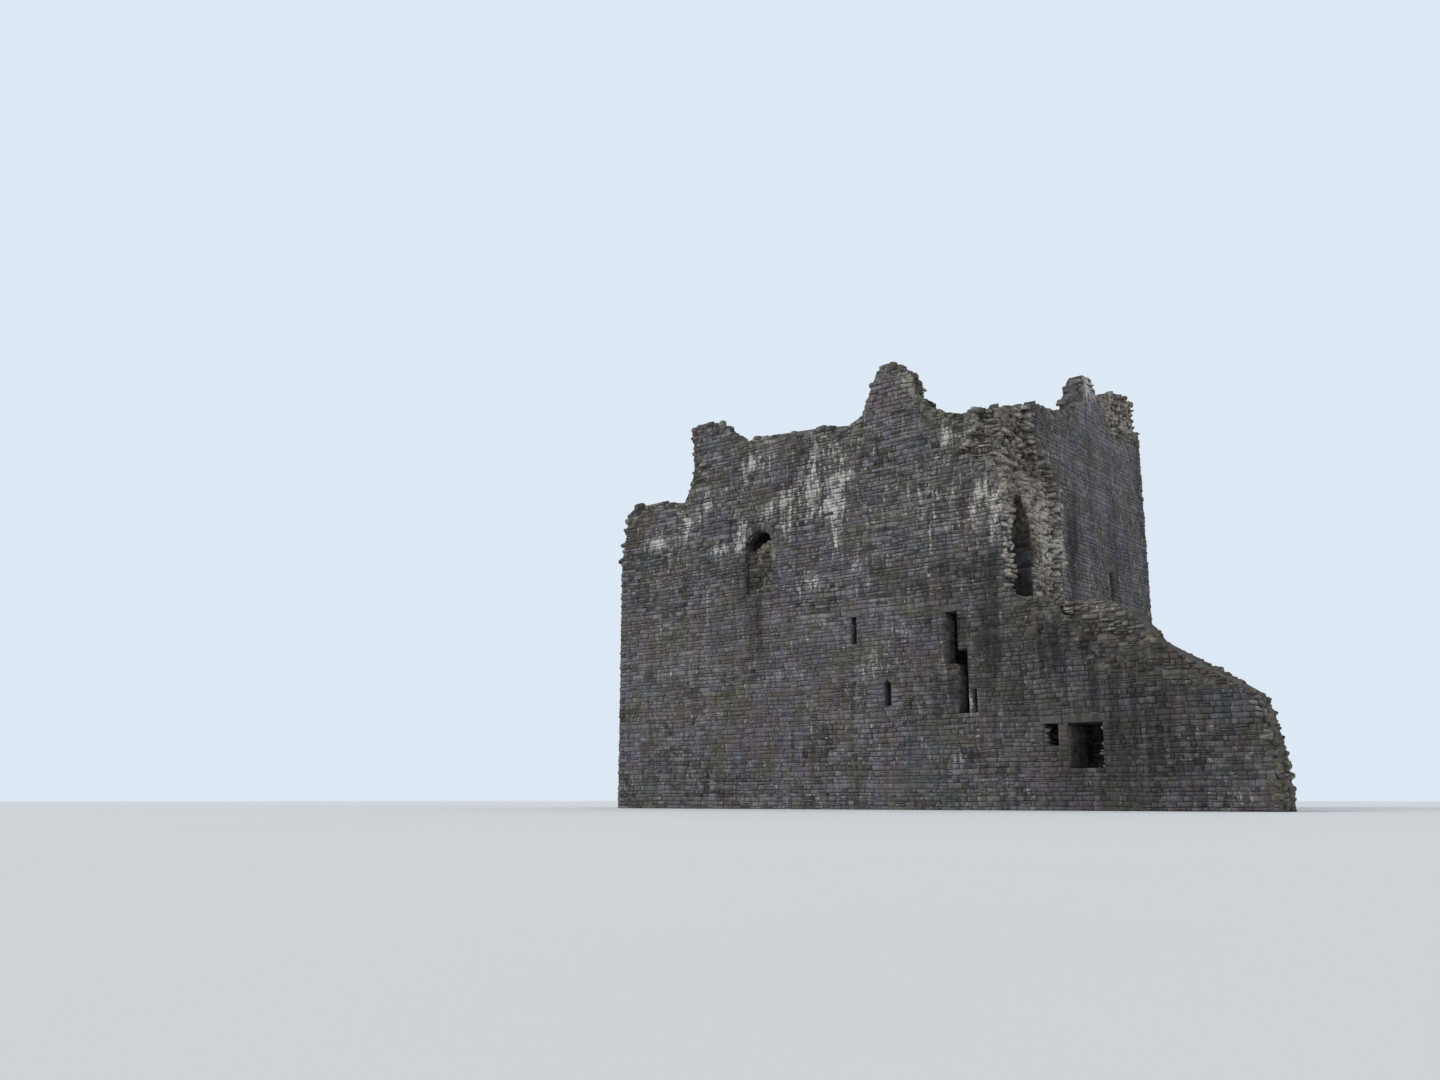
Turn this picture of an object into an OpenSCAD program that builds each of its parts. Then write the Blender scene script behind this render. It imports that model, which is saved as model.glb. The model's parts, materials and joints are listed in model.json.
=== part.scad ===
// Ruined stone keep of two storeys, open to the sky, with the stub of its forebuilding.
// X runs along the long front, the front faces -Y and the right end faces +X.
// The origin is in the middle of the whole plan, at the lowest ground that the walls reach.

/* [Keep plan] */
// Length of the keep along its front, outside
keep_len = 16200; // [15600:100:18000]
// Width of the keep across its ends, outside
keep_wid = 11200; // [10600:100:12600]
// Thickness of the lower storey's walls
lower_thick = 2400; // [2300:50:2700]
// Width of the inner ledge that carried the upper floor
ledge_wid = 300; // [100:50:400]
// Thickness of the outer leaf of wall, which carried the parapet
outer_leaf = 1100; // [900:50:1300]
// Thickness of the parapet, which is left on the highest tops only
parapet_thick = 500; // [400:50:700]

/* [Heights] */
// Fall of the ground beside the forebuilding, which the walls follow down
ground_fall = 1150; // [1000:50:1400]
// Height of the upper floor above the ground at the keep
floor_high = 5200; // [5150:50:5600]
// Height of the wall walk above the upper floor, over which only the parapet stands
walk_high = 6850; // [6700:50:7000]
// Drop from the outer leaf's broken top to the inner leaf's
leaf_drop = 350; // [200:50:500]

/* [Windows] */
// Distance from the right end to the middle of the windows
window_at = 9500; // [9200:50:9800]
// Width of a window at the outer face
window_wid = 1200; // [1000:50:1400]
// Height of a window's sill above the upper floor
window_sill = 1000; // [800:50:1200]
// Height of a window's jambs, from the sill to the springing
window_jamb = 1650; // [1400:50:1800]
// Depth of a window's outer order, before the splay
window_order = 600; // [500:50:800]
// Widening of the embrasure on each side, towards the hall
window_splay = 400; // [200:50:600]
// Height of the arch stones round a window, from the opening outwards
arch_ring = 300; // [220:20:360]
// Depth of the rear arch's stones, from the hall's face
rear_arch_deep = 350; // [250:50:450]
// Distance that the blocking of the front window is set back
blocking_back = 150; // [50:10:200]
// Depth of the rubble blocking
blocking_deep = 400; // [300:20:440]
// Drop from the springing to the blocking's top, on its low side
blocking_drop = 150; // [50:10:300]
// Rise of the blocking's top from its low side to its high one
blocking_rise = 360; // [250:10:400]

/* [Loops] */
// Distance from the right end to the middle of the high slits
slit_at = 5580; // [5400:20:5900]
// Width of a high slit
slit_wid = 200; // [140:10:260]
// Height of a high slit, up to the lintel under the upper floor
slit_high = 900; // [700:20:1000]
// Distance from the right end to the middle of the low loops
loop_at = 4370; // [4200:10:4400]
// Width of a low loop
loop_wid = 260; // [180:10:300]
// Height of a low loop's sill above the ground at the keep
loop_sill = 2050; // [1850:50:2150]
// Height of a low loop, to the underside of its lintel
loop_high = 700; // [550:50:850]
// Width of a loop's embrasure at the hall side
loop_inner = 1000; // [800:50:1200]
// Distance from the front to the middle of the end walls' loops
end_loop_at = 7700; // [7500:50:7900]
// Width of the end walls' loops
end_loop_wid = 300; // [220:10:360]
// Height of the end loops' sills above the upper floor
end_loop_sill = 500; // [400:50:700]
// Height of the end walls' loops
end_loop_high = 1200; // [1000:50:1400]

/* [Lintels] */
// Height of a lintel stone
lintel_high = 220; // [180:10:260]
// Length of a lintel's bearing on each side
lintel_bearing = 180; // [120:10:220]
// Length of a low lintel's bearing on each side, in the forebuilding
low_bearing = 120; // [80:10:130]
// Depth of a lintel from the wall's face
lintel_deep = 500; // [400:20:540]

/* [Corner shaft] */
// Length of the near corner's own masonry along the front
corner_len = 3300; // [3200:20:3400]
// Thickness of wall in front of the shaft
shaft_skin = 550; // [500:10:600]
// Width of the shaft
shaft_wid = 1150; // [1000:10:1200]
// Thickness of wall between the end face and the shaft
shaft_end = 800; // [700:20:900]
// Thickness of masonry between the shaft and the rest of the front wall
shaft_back = 300; // [250:10:360]
// Height of the shaft's bottom above the ground at the keep
shaft_foot = 1500; // [1200:50:1600]
// Distance from the right end to the stepped slot
slot_at = 1500; // [1450:10:1560]
// Width of each half of the stepped slot
slot_wid = 360; // [300:10:380]
// Height of the lower half's sill above the ground at the keep
slot_sill = 1700; // [1650:10:1800]
// Height of the lower half of the slot
slot_high = 1950; // [1800:50:2000]
// Height from the lower half's sill to the upper half's sill
slot_step = 1500; // [1400:50:1600]
// Height of the upper half of the slot
slot_top_high = 1620; // [1500:20:1660]
// Width of the small slot beside the stepped one
small_slot_wid = 150; // [100:10:180]
// Height of the small slot
small_slot_high = 700; // [500:50:900]
// Width of the masonry between the small slot and the stepped one
slot_pier = 120; // [80:10:160]
// Height of the robbed doorway in the end face
door_high = 3200; // [3000:50:3300]
// Height of the inner doorway, between the shaft and the hall
inner_door_high = 2100; // [1900:50:2200]
// Width of the inner doorway
inner_door_wid = 700; // [600:20:740]

/* [Robbed corner] */
// Depth to which the facing stones are robbed
robbed_deep = 320; // [240:20:360]
// Mean reach of the robbing along the end face, beside the doorway
robbed_end = 3800; // [3600:50:4000]
// Width of the ragged edge of the robbing
scar_slope = 130; // [80:10:200]
// Depth of the hollow over the doorway, behind the robbed face
socket_deep = 400; // [250:10:500]
// Width of the hollow over the doorway
socket_wid = 850; // [600:10:900]
// Height of the hollow over the doorway
socket_high = 320; // [200:10:400]
// Depth of the facing lost elsewhere, from the end face's far top and the forebuilding
scar_deep = 220; // [150:10:300]

/* [Forebuilding] */
// Length of the forebuilding's front wall, out from the keep
fore_len = 7100; // [6900:50:7600]
// Length of its near part, which stands nearly to its full height
fore_near = 3300; // [3120:20:3500]
// Thickness of its front wall
fore_front = 1300; // [1100:50:1500]
// Width of the rubble between its walls
fore_fill = 2000; // [1700:50:2300]
// Thickness of its rear wall
fore_rear = 1100; // [900:50:1300]
// Distance from the keep to the small low opening
small_low_at = 850; // [800:10:900]
// Width of the small low opening
small_low_wid = 430; // [360:10:460]
// Width of the pier between the low openings
low_pier = 270; // [270:10:320]
// Width of the wide low opening
wide_low_wid = 1050; // [900:10:1100]
// Height of the low openings' heads above the ground at the keep
low_head = 1280; // [1200:20:1400]
// Height of the small low opening's sill above the wide one's
small_low_sill = 650; // [500:10:750]
// Depth of the recess behind the low openings, in the rubble
low_recess = 700; // [500:50:900]

/* [Hidden] */
$fn = 64;

// Plan
total_len = keep_len + fore_len;
west_x = -total_len / 2;
east_x = west_x + keep_len;
front_y = -keep_wid / 2;
rear_y = keep_wid / 2;
upper_thick = lower_thick - ledge_wid;
hall_skin_x = east_x - upper_thick;
fore_split_x = east_x + fore_near;
fore_end_x = east_x + fore_len;

// Levels
floor_z = ground_fall + floor_high;
sill_z = floor_z + window_sill;
spring_z = sill_z + window_jamb;
door_top_z = floor_z + door_high;
slit_sill_z = floor_z - lintel_high - slit_high;
loop_sill_z = ground_fall + loop_sill;
shaft_foot_z = ground_fall + shaft_foot;
slot_sill_z = ground_fall + slot_sill;
slot_step_z = slot_sill_z + slot_step;
slot_top_z = slot_step_z + slot_top_high;
low_sill_z = ground_fall;
low_head_z = ground_fall + low_head;

// Windows and loops
window_x = east_x - window_at;
inner_wid = window_wid + 2 * window_splay;
window_half = inner_wid / 2 + arch_ring;
slit_x = east_x - slit_at;
loop_x = east_x - loop_at;
end_loop_y = front_y + end_loop_at;

// Near corner
corner_x = east_x - corner_len;
shaft_x0 = corner_x + shaft_back;
shaft_x1 = east_x - shaft_end;
door_low_y = front_y + shaft_skin;
door_high_y = door_low_y + shaft_wid;

// Robbed corner: sound masonry in the jamb's own piece, depth of the robbing beside the doorway,
// rounding of the core's arris, and place of the hollow along the end face and above the floor
jamb_sound = 500;
jamb_y = front_y + robbed_end + jamb_sound;
jamb_near_deep = 80;
core_round = 200;
socket_at = 1700;
socket_z = 4550;

// Inner doorway and slots
inner_door_x = shaft_x0;
slot_x1 = east_x - slot_at;
slot_x0 = slot_x1 - slot_wid;
small_slot_x = slot_x1 + slot_pier;

// Forebuilding
small_low_x0 = east_x + small_low_at;
small_low_x1 = small_low_x0 + small_low_wid;
wide_low_x0 = small_low_x1 + low_pier;
wide_low_x1 = wide_low_x0 + wide_low_wid;
fore_core_y = front_y + fore_front;
fore_rear_y = fore_core_y + fore_fill;

// Arch stones, and the open joint between each two at the ring's face
order_stones = 11;
rear_stones = 15;
joint_wid = 14;
joint_deep = 60;

// Cuts run past the faces by this much, and upwards to the sky
past = 50;
sky_z = floor_z + 12000;

// Broken tops: distance from the named corner, then height above the upper floor
front_break_east = [
  [0, 5900], [1400, 5850], [1900, 5950], [2300, 6200], [2800, 6500], [3000, 6850], [3050, 7350],
  [3200, 7650], [3400, 7850], [3800, 7980], [4150, 8100], [4450, 7900], [4700, 7400],
  [4850, 7000], [4950, 6600], [5600, 6300], [6700, 6450]
];
front_break_west = [
  [7600, 6580], [6600, 6650], [6200, 6550], [5850, 6800], [5300, 7200], [5000, 7500],
  [4500, 7650], [3900, 7650], [3600, 7450], [3660, 6750], [3700, 6000], [3550, 5400],
  [3150, 4700], [2750, 4800], [2200, 5000], [900, 4980], [400, 4850], [250, 4200], [0, 3000]
];
end_break_front = [
  [0, 5900], [500, 5950], [1300, 6200], [2350, 6500], [3200, 6550], [3900, 6600],
  [4500, 6800], [5000, 6900], [5350, 7100], [5500, 7500], [5800, 7800], [6100, 8300]
];
end_break_rear = [
  [4850, 8550], [4250, 8550], [3800, 8100], [3600, 8050], [3000, 8300], [2200, 8600],
  [1500, 8800], [500, 8850], [200, 8800], [0, 8400]
];
rear_break_east = [
  [0, 8500], [400, 8800], [1200, 8500], [1900, 7800], [3000, 6800], [4200, 6500],
  [5200, 6600], [5900, 7100], [6600, 7250]
];
rear_break_west = [
  [8400, 7100], [7700, 6500], [6400, 6200], [5200, 5900], [4300, 5950], [3300, 5400],
  [2100, 4900], [900, 4600], [0, 4300]
];
west_break_front = [[0, 3000], [900, 4300], [2400, 4900], [3900, 5100]];
west_break_rear = [[5200, 5000], [4000, 4500], [2600, 4650], [1300, 4400], [0, 4300]];

// Top of the window's blocking, as shares of the window's width and of the rise
blocking_steps = [
  [-1, 0], [-0.17, 0], [-0.14, 0.3], [0, 0.45], [0.05, 0.72], [0.2, 0.8], [0.24, 1], [1, 1]
];

// Robbing of the near corner, by levels above the upper floor:
// bottom, top, reach along the front, reach along the end face past the jamb's mean reach
robbed_levels = [
  [0, 500, 200, -300], [500, 900, 120, -50], [900, 1400, 170, -150], [1400, 1800, 130, 50],
  [1800, 2250, 190, -100], [2250, 2700, 80, 150], [2700, 3300, 120, 50], [3300, 3600, 90, 100],
  [3600, 3950, 220, -200], [3950, 4250, 400, -50], [4250, 4500, 1150, -350],
  [4500, 4800, 1500, -950], [4800, 5150, 1250, -1350], [5150, 5500, 900, -1600],
  [5500, 5850, 1050, -1850], [5850, 6200, 850, -1700], [6200, 6800, 1300, -1900]
];

// Broken head of the doorway: distance from its far or near side, then drop below its top
door_head_far = [[0, 1200], [150, 600], [450, 150], [600, -50]];
door_head_near = [[320, -50], [200, 180], [0, 700]];

// Facing lost from the far top of the end face: distance from the front, height above the floor
end_scar = [[8350, 9000], [8350, 7600], [8500, 6800], [9150, 6850], [9900, 7250], [10700, 7300],
  [11400, 7700], [11400, 9000]];

// Broken tops of the forebuilding: distance from the keep, height above the keep's ground
fore_front_near_break = [[0, 5050], [900, 4950], [1900, 4800], [2750, 4700], [3100, 4600]];
fore_front_far_break = [
  [3300, 4450], [3600, 4150], [3850, 3900], [4100, 3500], [4500, 3250], [5000, 2950],
  [5400, 2650], [6000, 2300], [6600, 1900], [6850, 1100], [7000, 300]
];
fore_core_break = [
  [0, 4900], [1500, 4500], [2600, 3900], [3400, 3000], [4200, 1900], [4900, 900], [5400, 0],
  [5700, -600]
];
fore_core_foot = 5850;
fore_rear_break = [
  [0, 5100], [900, 4700], [1800, 4100], [2500, 3000], [3100, 1600], [3500, 300], [3700, -500]
];
fore_rear_foot = 3800;

// Facing lost from the top of the forebuilding's front, set out in the same way
fore_scar = [
  [1350, 5200], [1450, 4700], [1600, 4400], [2000, 4100], [2500, 3800], [3300, 3600],
  [3900, 3350], [4150, 3600], [4400, 5200]
];

// Points of a broken top, set out from one end of a wall
function tops(points, start, way) = [for (p = points) [start + way * p[0], floor_z + p[1]]];

// Closes a broken top down to the level of the upper floor
function standing(line) =
  concat([[line[0][0], floor_z]], line, [[line[len(line) - 1][0], floor_z]]);

// Broken top cut down to the wall walk, over which only the parapet stands
function under_walk(line) = [for (p = line) [p[0], min(p[1], floor_z + walk_high)]];

// Top of the inner leaf: lower by the drop, now more and now less along the wall
worn_wave = 14;
function worn(line) = [
  for (p = under_walk(line)) [p[0], p[1] - leaf_drop * (1 + 0.6 * sin(p[0] / worn_wave))]
];

// Points of the forebuilding, set out from the keep and from its ground
function fore_points(points) = [for (p = points) [east_x + p[0], ground_fall + p[1]]];

// Closes a broken top of the forebuilding down to the lowest ground, out to a foot at x1
function down_to_foot(line, x1) = concat([[east_x, 0]], line, [[x1, 0]]);

front_top = concat(tops(front_break_east, east_x, -1), tops(front_break_west, west_x, 1));
end_top = concat(tops(end_break_front, front_y, 1), tops(end_break_rear, rear_y, -1));
rear_top = concat(tops(rear_break_east, east_x, -1), tops(rear_break_west, west_x, 1));
west_top = concat(tops(west_break_front, front_y, 1), tops(west_break_rear, rear_y, -1));

// Box between two corners
module block(x0, x1, y0, y1, z0, z1) {
  translate([x0, y0, z0]) cube([x1 - x0, y1 - y0, z1 - z0]);
}

// Outline in X and Z, carried from y0 to y1
module along_y(y0, y1) {
  translate([0, y1, 0]) rotate([90, 0, 0]) linear_extrude(y1 - y0) children();
}

// Outline in Y and Z, carried from x0 to x1
module along_x(x0, x1) {
  translate([x0, 0, 0]) rotate([90, 0, 90]) linear_extrude(x1 - x0) children();
}

// The same between a face and a depth measured inward from it, on either side of the keep
module inward_y(face_y, inward, near, deep) {
  a = face_y + inward * near;
  b = face_y + inward * deep;
  along_y(min(a, b), max(a, b)) children();
}
module inward_x(face_x, inward, near, deep) {
  a = face_x + inward * near;
  b = face_x + inward * deep;
  along_x(min(a, b), max(a, b)) children();
}

// Upper wall along X: the parapet stands to its broken top, the leaves behind it lower
module long_wall(line, face_y, inward) {
  inward_y(face_y, inward, 0, parapet_thick) polygon(standing(line));
  inward_y(face_y, inward, 0, outer_leaf) polygon(standing(under_walk(line)));
  inward_y(face_y, inward, 0, upper_thick) polygon(standing(worn(line)));
}

// Upper wall along Y, made in the same way
module end_wall(line, face_x, inward) {
  inward_x(face_x, inward, 0, parapet_thick) polygon(standing(line));
  inward_x(face_x, inward, 0, outer_leaf) polygon(standing(under_walk(line)));
  inward_x(face_x, inward, 0, upper_thick) polygon(standing(worn(line)));
}

// Stretch of a wall between two planes across X
module between_x(x0, x1) {
  intersection() {
    children();
    block(x0, x1, front_y, rear_y, floor_z, sky_z);
  }
}

// Stretch of a wall between two planes across Y
module between_y(y0, y1) {
  intersection() {
    children();
    block(west_x, east_x, y0, y1, floor_z, sky_z);
  }
}

// Round-headed outline, from z0 up to its crown
module arched(x, wid, z0) {
  translate([x - wid / 2, z0]) square([wid, spring_z - z0]);
  translate([x, spring_z]) circle(d = wid);
}

// Half ring of an arch, above the springing
module half_ring(x, wid, hole) {
  outer = wid / 2 + arch_ring;
  translate([x, spring_z]) difference() {
    circle(r = outer);
    if (hole) circle(d = wid);
    translate([-outer - past, -outer - past]) square([2 * (outer + past), outer + past]);
  }
}

// Window through a long wall: a straight outer order, then a splayed embrasure
module window_void(face_y, inward) {
  start_y = face_y + inward * window_order;
  back_y = face_y + inward * upper_thick;
  past_y = face_y + inward * (upper_thick + past);
  inward_y(face_y, inward, -past, window_order + past) arched(window_x, window_wid, sill_z);
  intersection() {
    inward_y(face_y, inward, window_order, upper_thick + past) arched(window_x, inner_wid, sill_z);
    translate([window_x, 0, sill_z])
      linear_extrude(sky_z)
        polygon([
          [-window_wid / 2, start_y], [window_wid / 2, start_y], [inner_wid / 2, back_y],
          [inner_wid / 2, past_y], [-inner_wid / 2, past_y], [-inner_wid / 2, back_y]
        ]);
  }
}

// Stretch of a long wall round its window, with seats for both arches
module window_wall(line, face_y, inward) {
  difference() {
    between_x(window_x - window_half, window_x + window_half) long_wall(line, face_y, inward);
    block(window_x - window_half - past, window_x + window_half + past,
          front_y - past, rear_y + past, floor_z - past, sill_z);
    window_void(face_y, inward);
    inward_y(face_y, inward, -past, window_order) half_ring(window_x, window_wid, false);
    inward_y(face_y, inward, upper_thick - rear_arch_deep, upper_thick + past)
      half_ring(window_x, inner_wid, false);
  }
}

// Arch stones as one ring, with an open joint between each two at the ring's face
module arch_stones(wid, face_y, inward, near, deep, count, joint_near) {
  difference() {
    inward_y(face_y, inward, near, deep) half_ring(window_x, wid, true);
    for (i = [1 : count - 1])
      inward_y(face_y, inward, joint_near, joint_near + joint_deep)
        translate([window_x, spring_z])
          rotate(180 * i / count)
            translate([wid / 2 - past, -joint_wid / 2])
              square([arch_ring + 2 * past, joint_wid]);
  }
}

module order_arch(face_y, inward) {
  arch_stones(window_wid, face_y, inward, 0, window_order, order_stones, 0);
}

module rear_arch(face_y, inward) {
  arch_stones(inner_wid, face_y, inward, upper_thick - rear_arch_deep, upper_thick, rear_stones,
              upper_thick - joint_deep);
}

// Loop through a long wall: straight for a lintel's depth, then splayed towards the hall
module loop_void(x, face_y, inward, wid, z0, high) {
  outer_y = face_y - inward * past;
  straight_y = face_y + inward * lintel_deep;
  inner_y = face_y + inward * lower_thick;
  past_y = face_y + inward * (lower_thick + past);
  translate([x, 0, z0])
    linear_extrude(high)
      polygon([
        [-wid / 2, outer_y], [wid / 2, outer_y], [wid / 2, straight_y], [loop_inner / 2, inner_y],
        [loop_inner / 2, past_y], [-loop_inner / 2, past_y], [-loop_inner / 2, inner_y],
        [-wid / 2, straight_y]
      ]);
}

// Loop through an end wall, splayed in the same way
module end_loop_void(face_x, inward) {
  outer_x = face_x - inward * past;
  straight_x = face_x + inward * lintel_deep;
  inner_x = face_x + inward * upper_thick;
  past_x = face_x + inward * (upper_thick + past);
  half = end_loop_wid / 2;
  translate([0, end_loop_y, floor_z + end_loop_sill])
    linear_extrude(end_loop_high)
      polygon([
        [outer_x, -half], [outer_x, half], [straight_x, half], [inner_x, loop_inner / 2],
        [past_x, loop_inner / 2], [past_x, -loop_inner / 2], [inner_x, -loop_inner / 2],
        [straight_x, -half]
      ]);
}

// Lintel stone over a gap from x0 to x1 in a long wall
module lintel(x0, x1, z, face_y, inward, bearing) {
  inward_y(face_y, inward, 0, lintel_deep)
    translate([x0 - bearing, z]) square([x1 - x0 + 2 * bearing, lintel_high]);
}

module slit_lintel(face_y, inward) {
  lintel(slit_x - slit_wid / 2, slit_x + slit_wid / 2, floor_z - lintel_high, face_y, inward,
         lintel_bearing);
}

// Lintel of a low loop, before its pointed head is cut
module loop_cap(face_y, inward) {
  lintel(loop_x - loop_wid / 2, loop_x + loop_wid / 2, loop_sill_z + loop_high, face_y, inward,
         lintel_bearing);
}

module pointed_loop_cap(face_y, inward) {
  head_z = loop_sill_z + loop_high;
  point_high = lintel_high * 0.6;
  difference() {
    loop_cap(face_y, inward);
    inward_y(face_y, inward, -past, lintel_deep + past)
      polygon([
        [loop_x - loop_wid / 2, head_z - 1], [loop_x + loop_wid / 2, head_z - 1],
        [loop_x, head_z + point_high]
      ]);
  }
}

module end_lintel(face_x, inward) {
  half = end_loop_wid / 2 + lintel_bearing;
  inward_x(face_x, inward, 0, lintel_deep)
    translate([end_loop_y - half, floor_z + end_loop_sill + end_loop_high])
      square([2 * half, lintel_high]);
}

// Plan of what is gone, from the front round to the end face. Where little is gone from the front,
// the wall before the shaft ends square. Higher up, the robbing turns the corner of the core.
function robbed_front(reach) = reach < robbed_deep
  ? [[-reach, shaft_skin], [-jamb_near_deep, shaft_skin + shaft_wid]]
  : [
      [-reach, 0], [-max(reach - scar_slope, robbed_deep + core_round), robbed_deep],
      [-robbed_deep, robbed_deep + core_round]
    ];

// Masonry that is gone from the near corner
module robbed_corner() {
  for (level = robbed_levels) {
    end_reach = robbed_end + level[3];
    translate([east_x, front_y, floor_z + level[0]])
      linear_extrude(level[1] - level[0])
        polygon(concat(
          [[past, -past], [-level[2], -past]], robbed_front(level[2]),
          [[-robbed_deep, end_reach - scar_slope], [0, end_reach], [past, end_reach]]
        ));
  }
}

// Hollow that fallen stones left over the doorway
module socket() {
  translate([east_x - robbed_deep - socket_deep, front_y + socket_at, floor_z + socket_z])
    cube([robbed_deep + socket_deep + past, socket_wid, socket_high]);
}

// Doorway broken through the end face, ragged at its head
module doorway_void() {
  along_x(shaft_x1 - past, east_x + past)
    polygon(concat(
      [[door_low_y, floor_z - past], [door_high_y, floor_z - past]],
      [for (p = door_head_far) [door_high_y - p[0], door_top_z - p[1]]],
      [for (p = door_head_near) [door_low_y + p[0], door_top_z - p[1]]]
    ));
}

// Shaft in the near corner, between two levels
module shaft_void(z0, z1) {
  block(shaft_x0, shaft_x1, door_low_y, door_high_y, z0, z1);
}

// Stepped slot and small slot, through the wall in front of the shaft
module slots_void() {
  along_y(front_y - past, door_low_y + past) {
    translate([slot_x0, slot_sill_z]) square([slot_wid, slot_high]);
    translate([slot_x0 - slot_wid, slot_step_z]) square([slot_wid + past, slot_top_high]);
    translate([small_slot_x, slot_sill_z]) square([small_slot_wid, small_slot_high]);
  }
}

module slot_lintel() {
  lintel(slot_x0 - slot_wid, slot_x0 + past, slot_top_z, front_y, 1, lintel_bearing);
}

module inner_door_stone(z0, z1, bearing) {
  block(inner_door_x - bearing, inner_door_x + inner_door_wid + bearing,
        door_high_y, front_y + upper_thick, z0, z1);
}

module lower_front_wall() {
  color("dimgray") difference() {
    block(west_x, corner_x, front_y, front_y + lower_thick, 0, floor_z);
    loop_void(slit_x, front_y, 1, slit_wid, slit_sill_z, slit_high);
    loop_void(loop_x, front_y, 1, loop_wid, loop_sill_z, loop_high);
    slit_lintel(front_y, 1);
    loop_cap(front_y, 1);
  }
}

module lower_corner() {
  color("dimgray") difference() {
    block(corner_x, east_x, front_y, front_y + lower_thick, 0, floor_z);
    shaft_void(shaft_foot_z, floor_z + past);
    slots_void();
    slot_lintel();
  }
}

module lower_end_wall() {
  color("dimgray")
    block(east_x - lower_thick, east_x, front_y + lower_thick, rear_y - lower_thick, 0, floor_z);
}

module lower_rear_wall() {
  color("dimgray") difference() {
    block(west_x, east_x, rear_y - lower_thick, rear_y, 0, floor_z);
    loop_void(slit_x, rear_y, -1, slit_wid, slit_sill_z, slit_high);
    loop_void(loop_x, rear_y, -1, loop_wid, loop_sill_z, loop_high);
    slit_lintel(rear_y, -1);
    loop_cap(rear_y, -1);
  }
}

module lower_west_wall() {
  color("dimgray")
    block(west_x, west_x + lower_thick, front_y + lower_thick, rear_y - lower_thick, 0, floor_z);
}

module upper_front_west() {
  color("gray") between_x(west_x, window_x - window_half) long_wall(front_top, front_y, 1);
}

module front_window_sill() {
  color("gray")
    block(window_x - window_half, window_x + window_half, front_y, front_y + upper_thick,
          floor_z, sill_z);
}

module front_window_wall() {
  color("gray") window_wall(front_top, front_y, 1);
}

module front_window_arch() {
  color("silver") order_arch(front_y, 1);
}

module front_window_rear_arch() {
  color("silver") rear_arch(front_y, 1);
}

// Rubble that blocks the front window, with a ragged hole left under the arch
module front_window_blocking() {
  color("tan")
    inward_y(front_y, 1, blocking_back, blocking_back + blocking_deep)
      intersection() {
        arched(window_x, window_wid, sill_z);
        translate([window_x, spring_z])
          polygon(concat(
            [[window_wid, -2 * window_jamb], [-window_wid, -2 * window_jamb]],
            [for (p = blocking_steps)
              [p[0] * window_wid, -blocking_drop + p[1] * blocking_rise]]
          ));
      }
}

module upper_front_middle() {
  color("gray") between_x(window_x + window_half, corner_x) long_wall(front_top, front_y, 1);
}

// Wall in front of the shaft, robbed where it meets the end face
module corner_outer_skin() {
  color("gray") difference() {
    block(corner_x, east_x, front_y, door_low_y, floor_z, door_top_z);
    robbed_corner();
  }
}

// Wall between the shaft and the hall, with the inner doorway, and the shaft's back
module corner_hall_skin() {
  color("gray") difference() {
    union() {
      block(corner_x, hall_skin_x, door_high_y, front_y + upper_thick, floor_z, door_top_z);
      block(corner_x, shaft_x0, door_low_y, door_high_y, floor_z, door_top_z);
    }
    translate([0, 0, -past])
      inner_door_stone(floor_z, floor_z + inner_door_high + past, 0);
    inner_door_stone(floor_z + inner_door_high, floor_z + inner_door_high + lintel_high,
                     lintel_bearing);
  }
}

// Masonry over the shaft and the doorway, robbed of its corner stones
module corner_crown() {
  color("tan") difference() {
    union() {
      between_x(corner_x, east_x) long_wall(front_top, front_y, 1);
      between_y(front_y, jamb_y) end_wall(end_top, east_x, -1);
    }
    block(west_x, east_x + past, front_y - past, rear_y, floor_z - past, door_top_z);
    robbed_corner();
    socket();
  }
}

// What is left of the masonry at the head of the doorway
module doorway_head() {
  color("tan") difference() {
    block(shaft_x1, east_x, door_low_y, door_high_y, floor_z, door_top_z);
    doorway_void();
    robbed_corner();
  }
}

// Robbed jamb of the doorway, from the shaft's side to the sound face of the end wall
module doorway_jamb() {
  color("tan") difference() {
    block(hall_skin_x, east_x, door_high_y, jamb_y, floor_z, door_top_z);
    robbed_corner();
  }
}

// Place of the facing that is lost from the far top of the end face
module end_scar_void() {
  along_x(east_x - scar_deep, east_x + past)
    polygon([for (p = end_scar) [front_y + p[0], floor_z + p[1]]]);
}

module upper_end_wall() {
  color("gray") difference() {
    between_y(jamb_y, rear_y - upper_thick) end_wall(end_top, east_x, -1);
    end_loop_void(east_x, -1);
    end_lintel(east_x, -1);
    end_scar_void();
  }
}

module upper_rear_east() {
  color("gray") difference() {
    union() {
      between_x(window_x + window_half, east_x) long_wall(rear_top, rear_y, -1);
      between_y(rear_y - upper_thick, rear_y) end_wall(end_top, east_x, -1);
    }
    end_scar_void();
  }
}

module rear_window_sill() {
  color("gray")
    block(window_x - window_half, window_x + window_half, rear_y - upper_thick, rear_y,
          floor_z, sill_z);
}

module rear_window_wall() {
  color("gray") window_wall(rear_top, rear_y, -1);
}

module rear_window_arch() {
  color("silver") order_arch(rear_y, -1);
}

module rear_window_rear_arch() {
  color("silver") rear_arch(rear_y, -1);
}

module upper_rear_west() {
  color("gray") between_x(west_x, window_x - window_half) long_wall(rear_top, rear_y, -1);
}

module upper_west_wall() {
  color("gray") difference() {
    between_y(front_y + upper_thick, rear_y - upper_thick) end_wall(west_top, west_x, 1);
    end_loop_void(west_x, 1);
    end_lintel(west_x, 1);
  }
}

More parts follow.
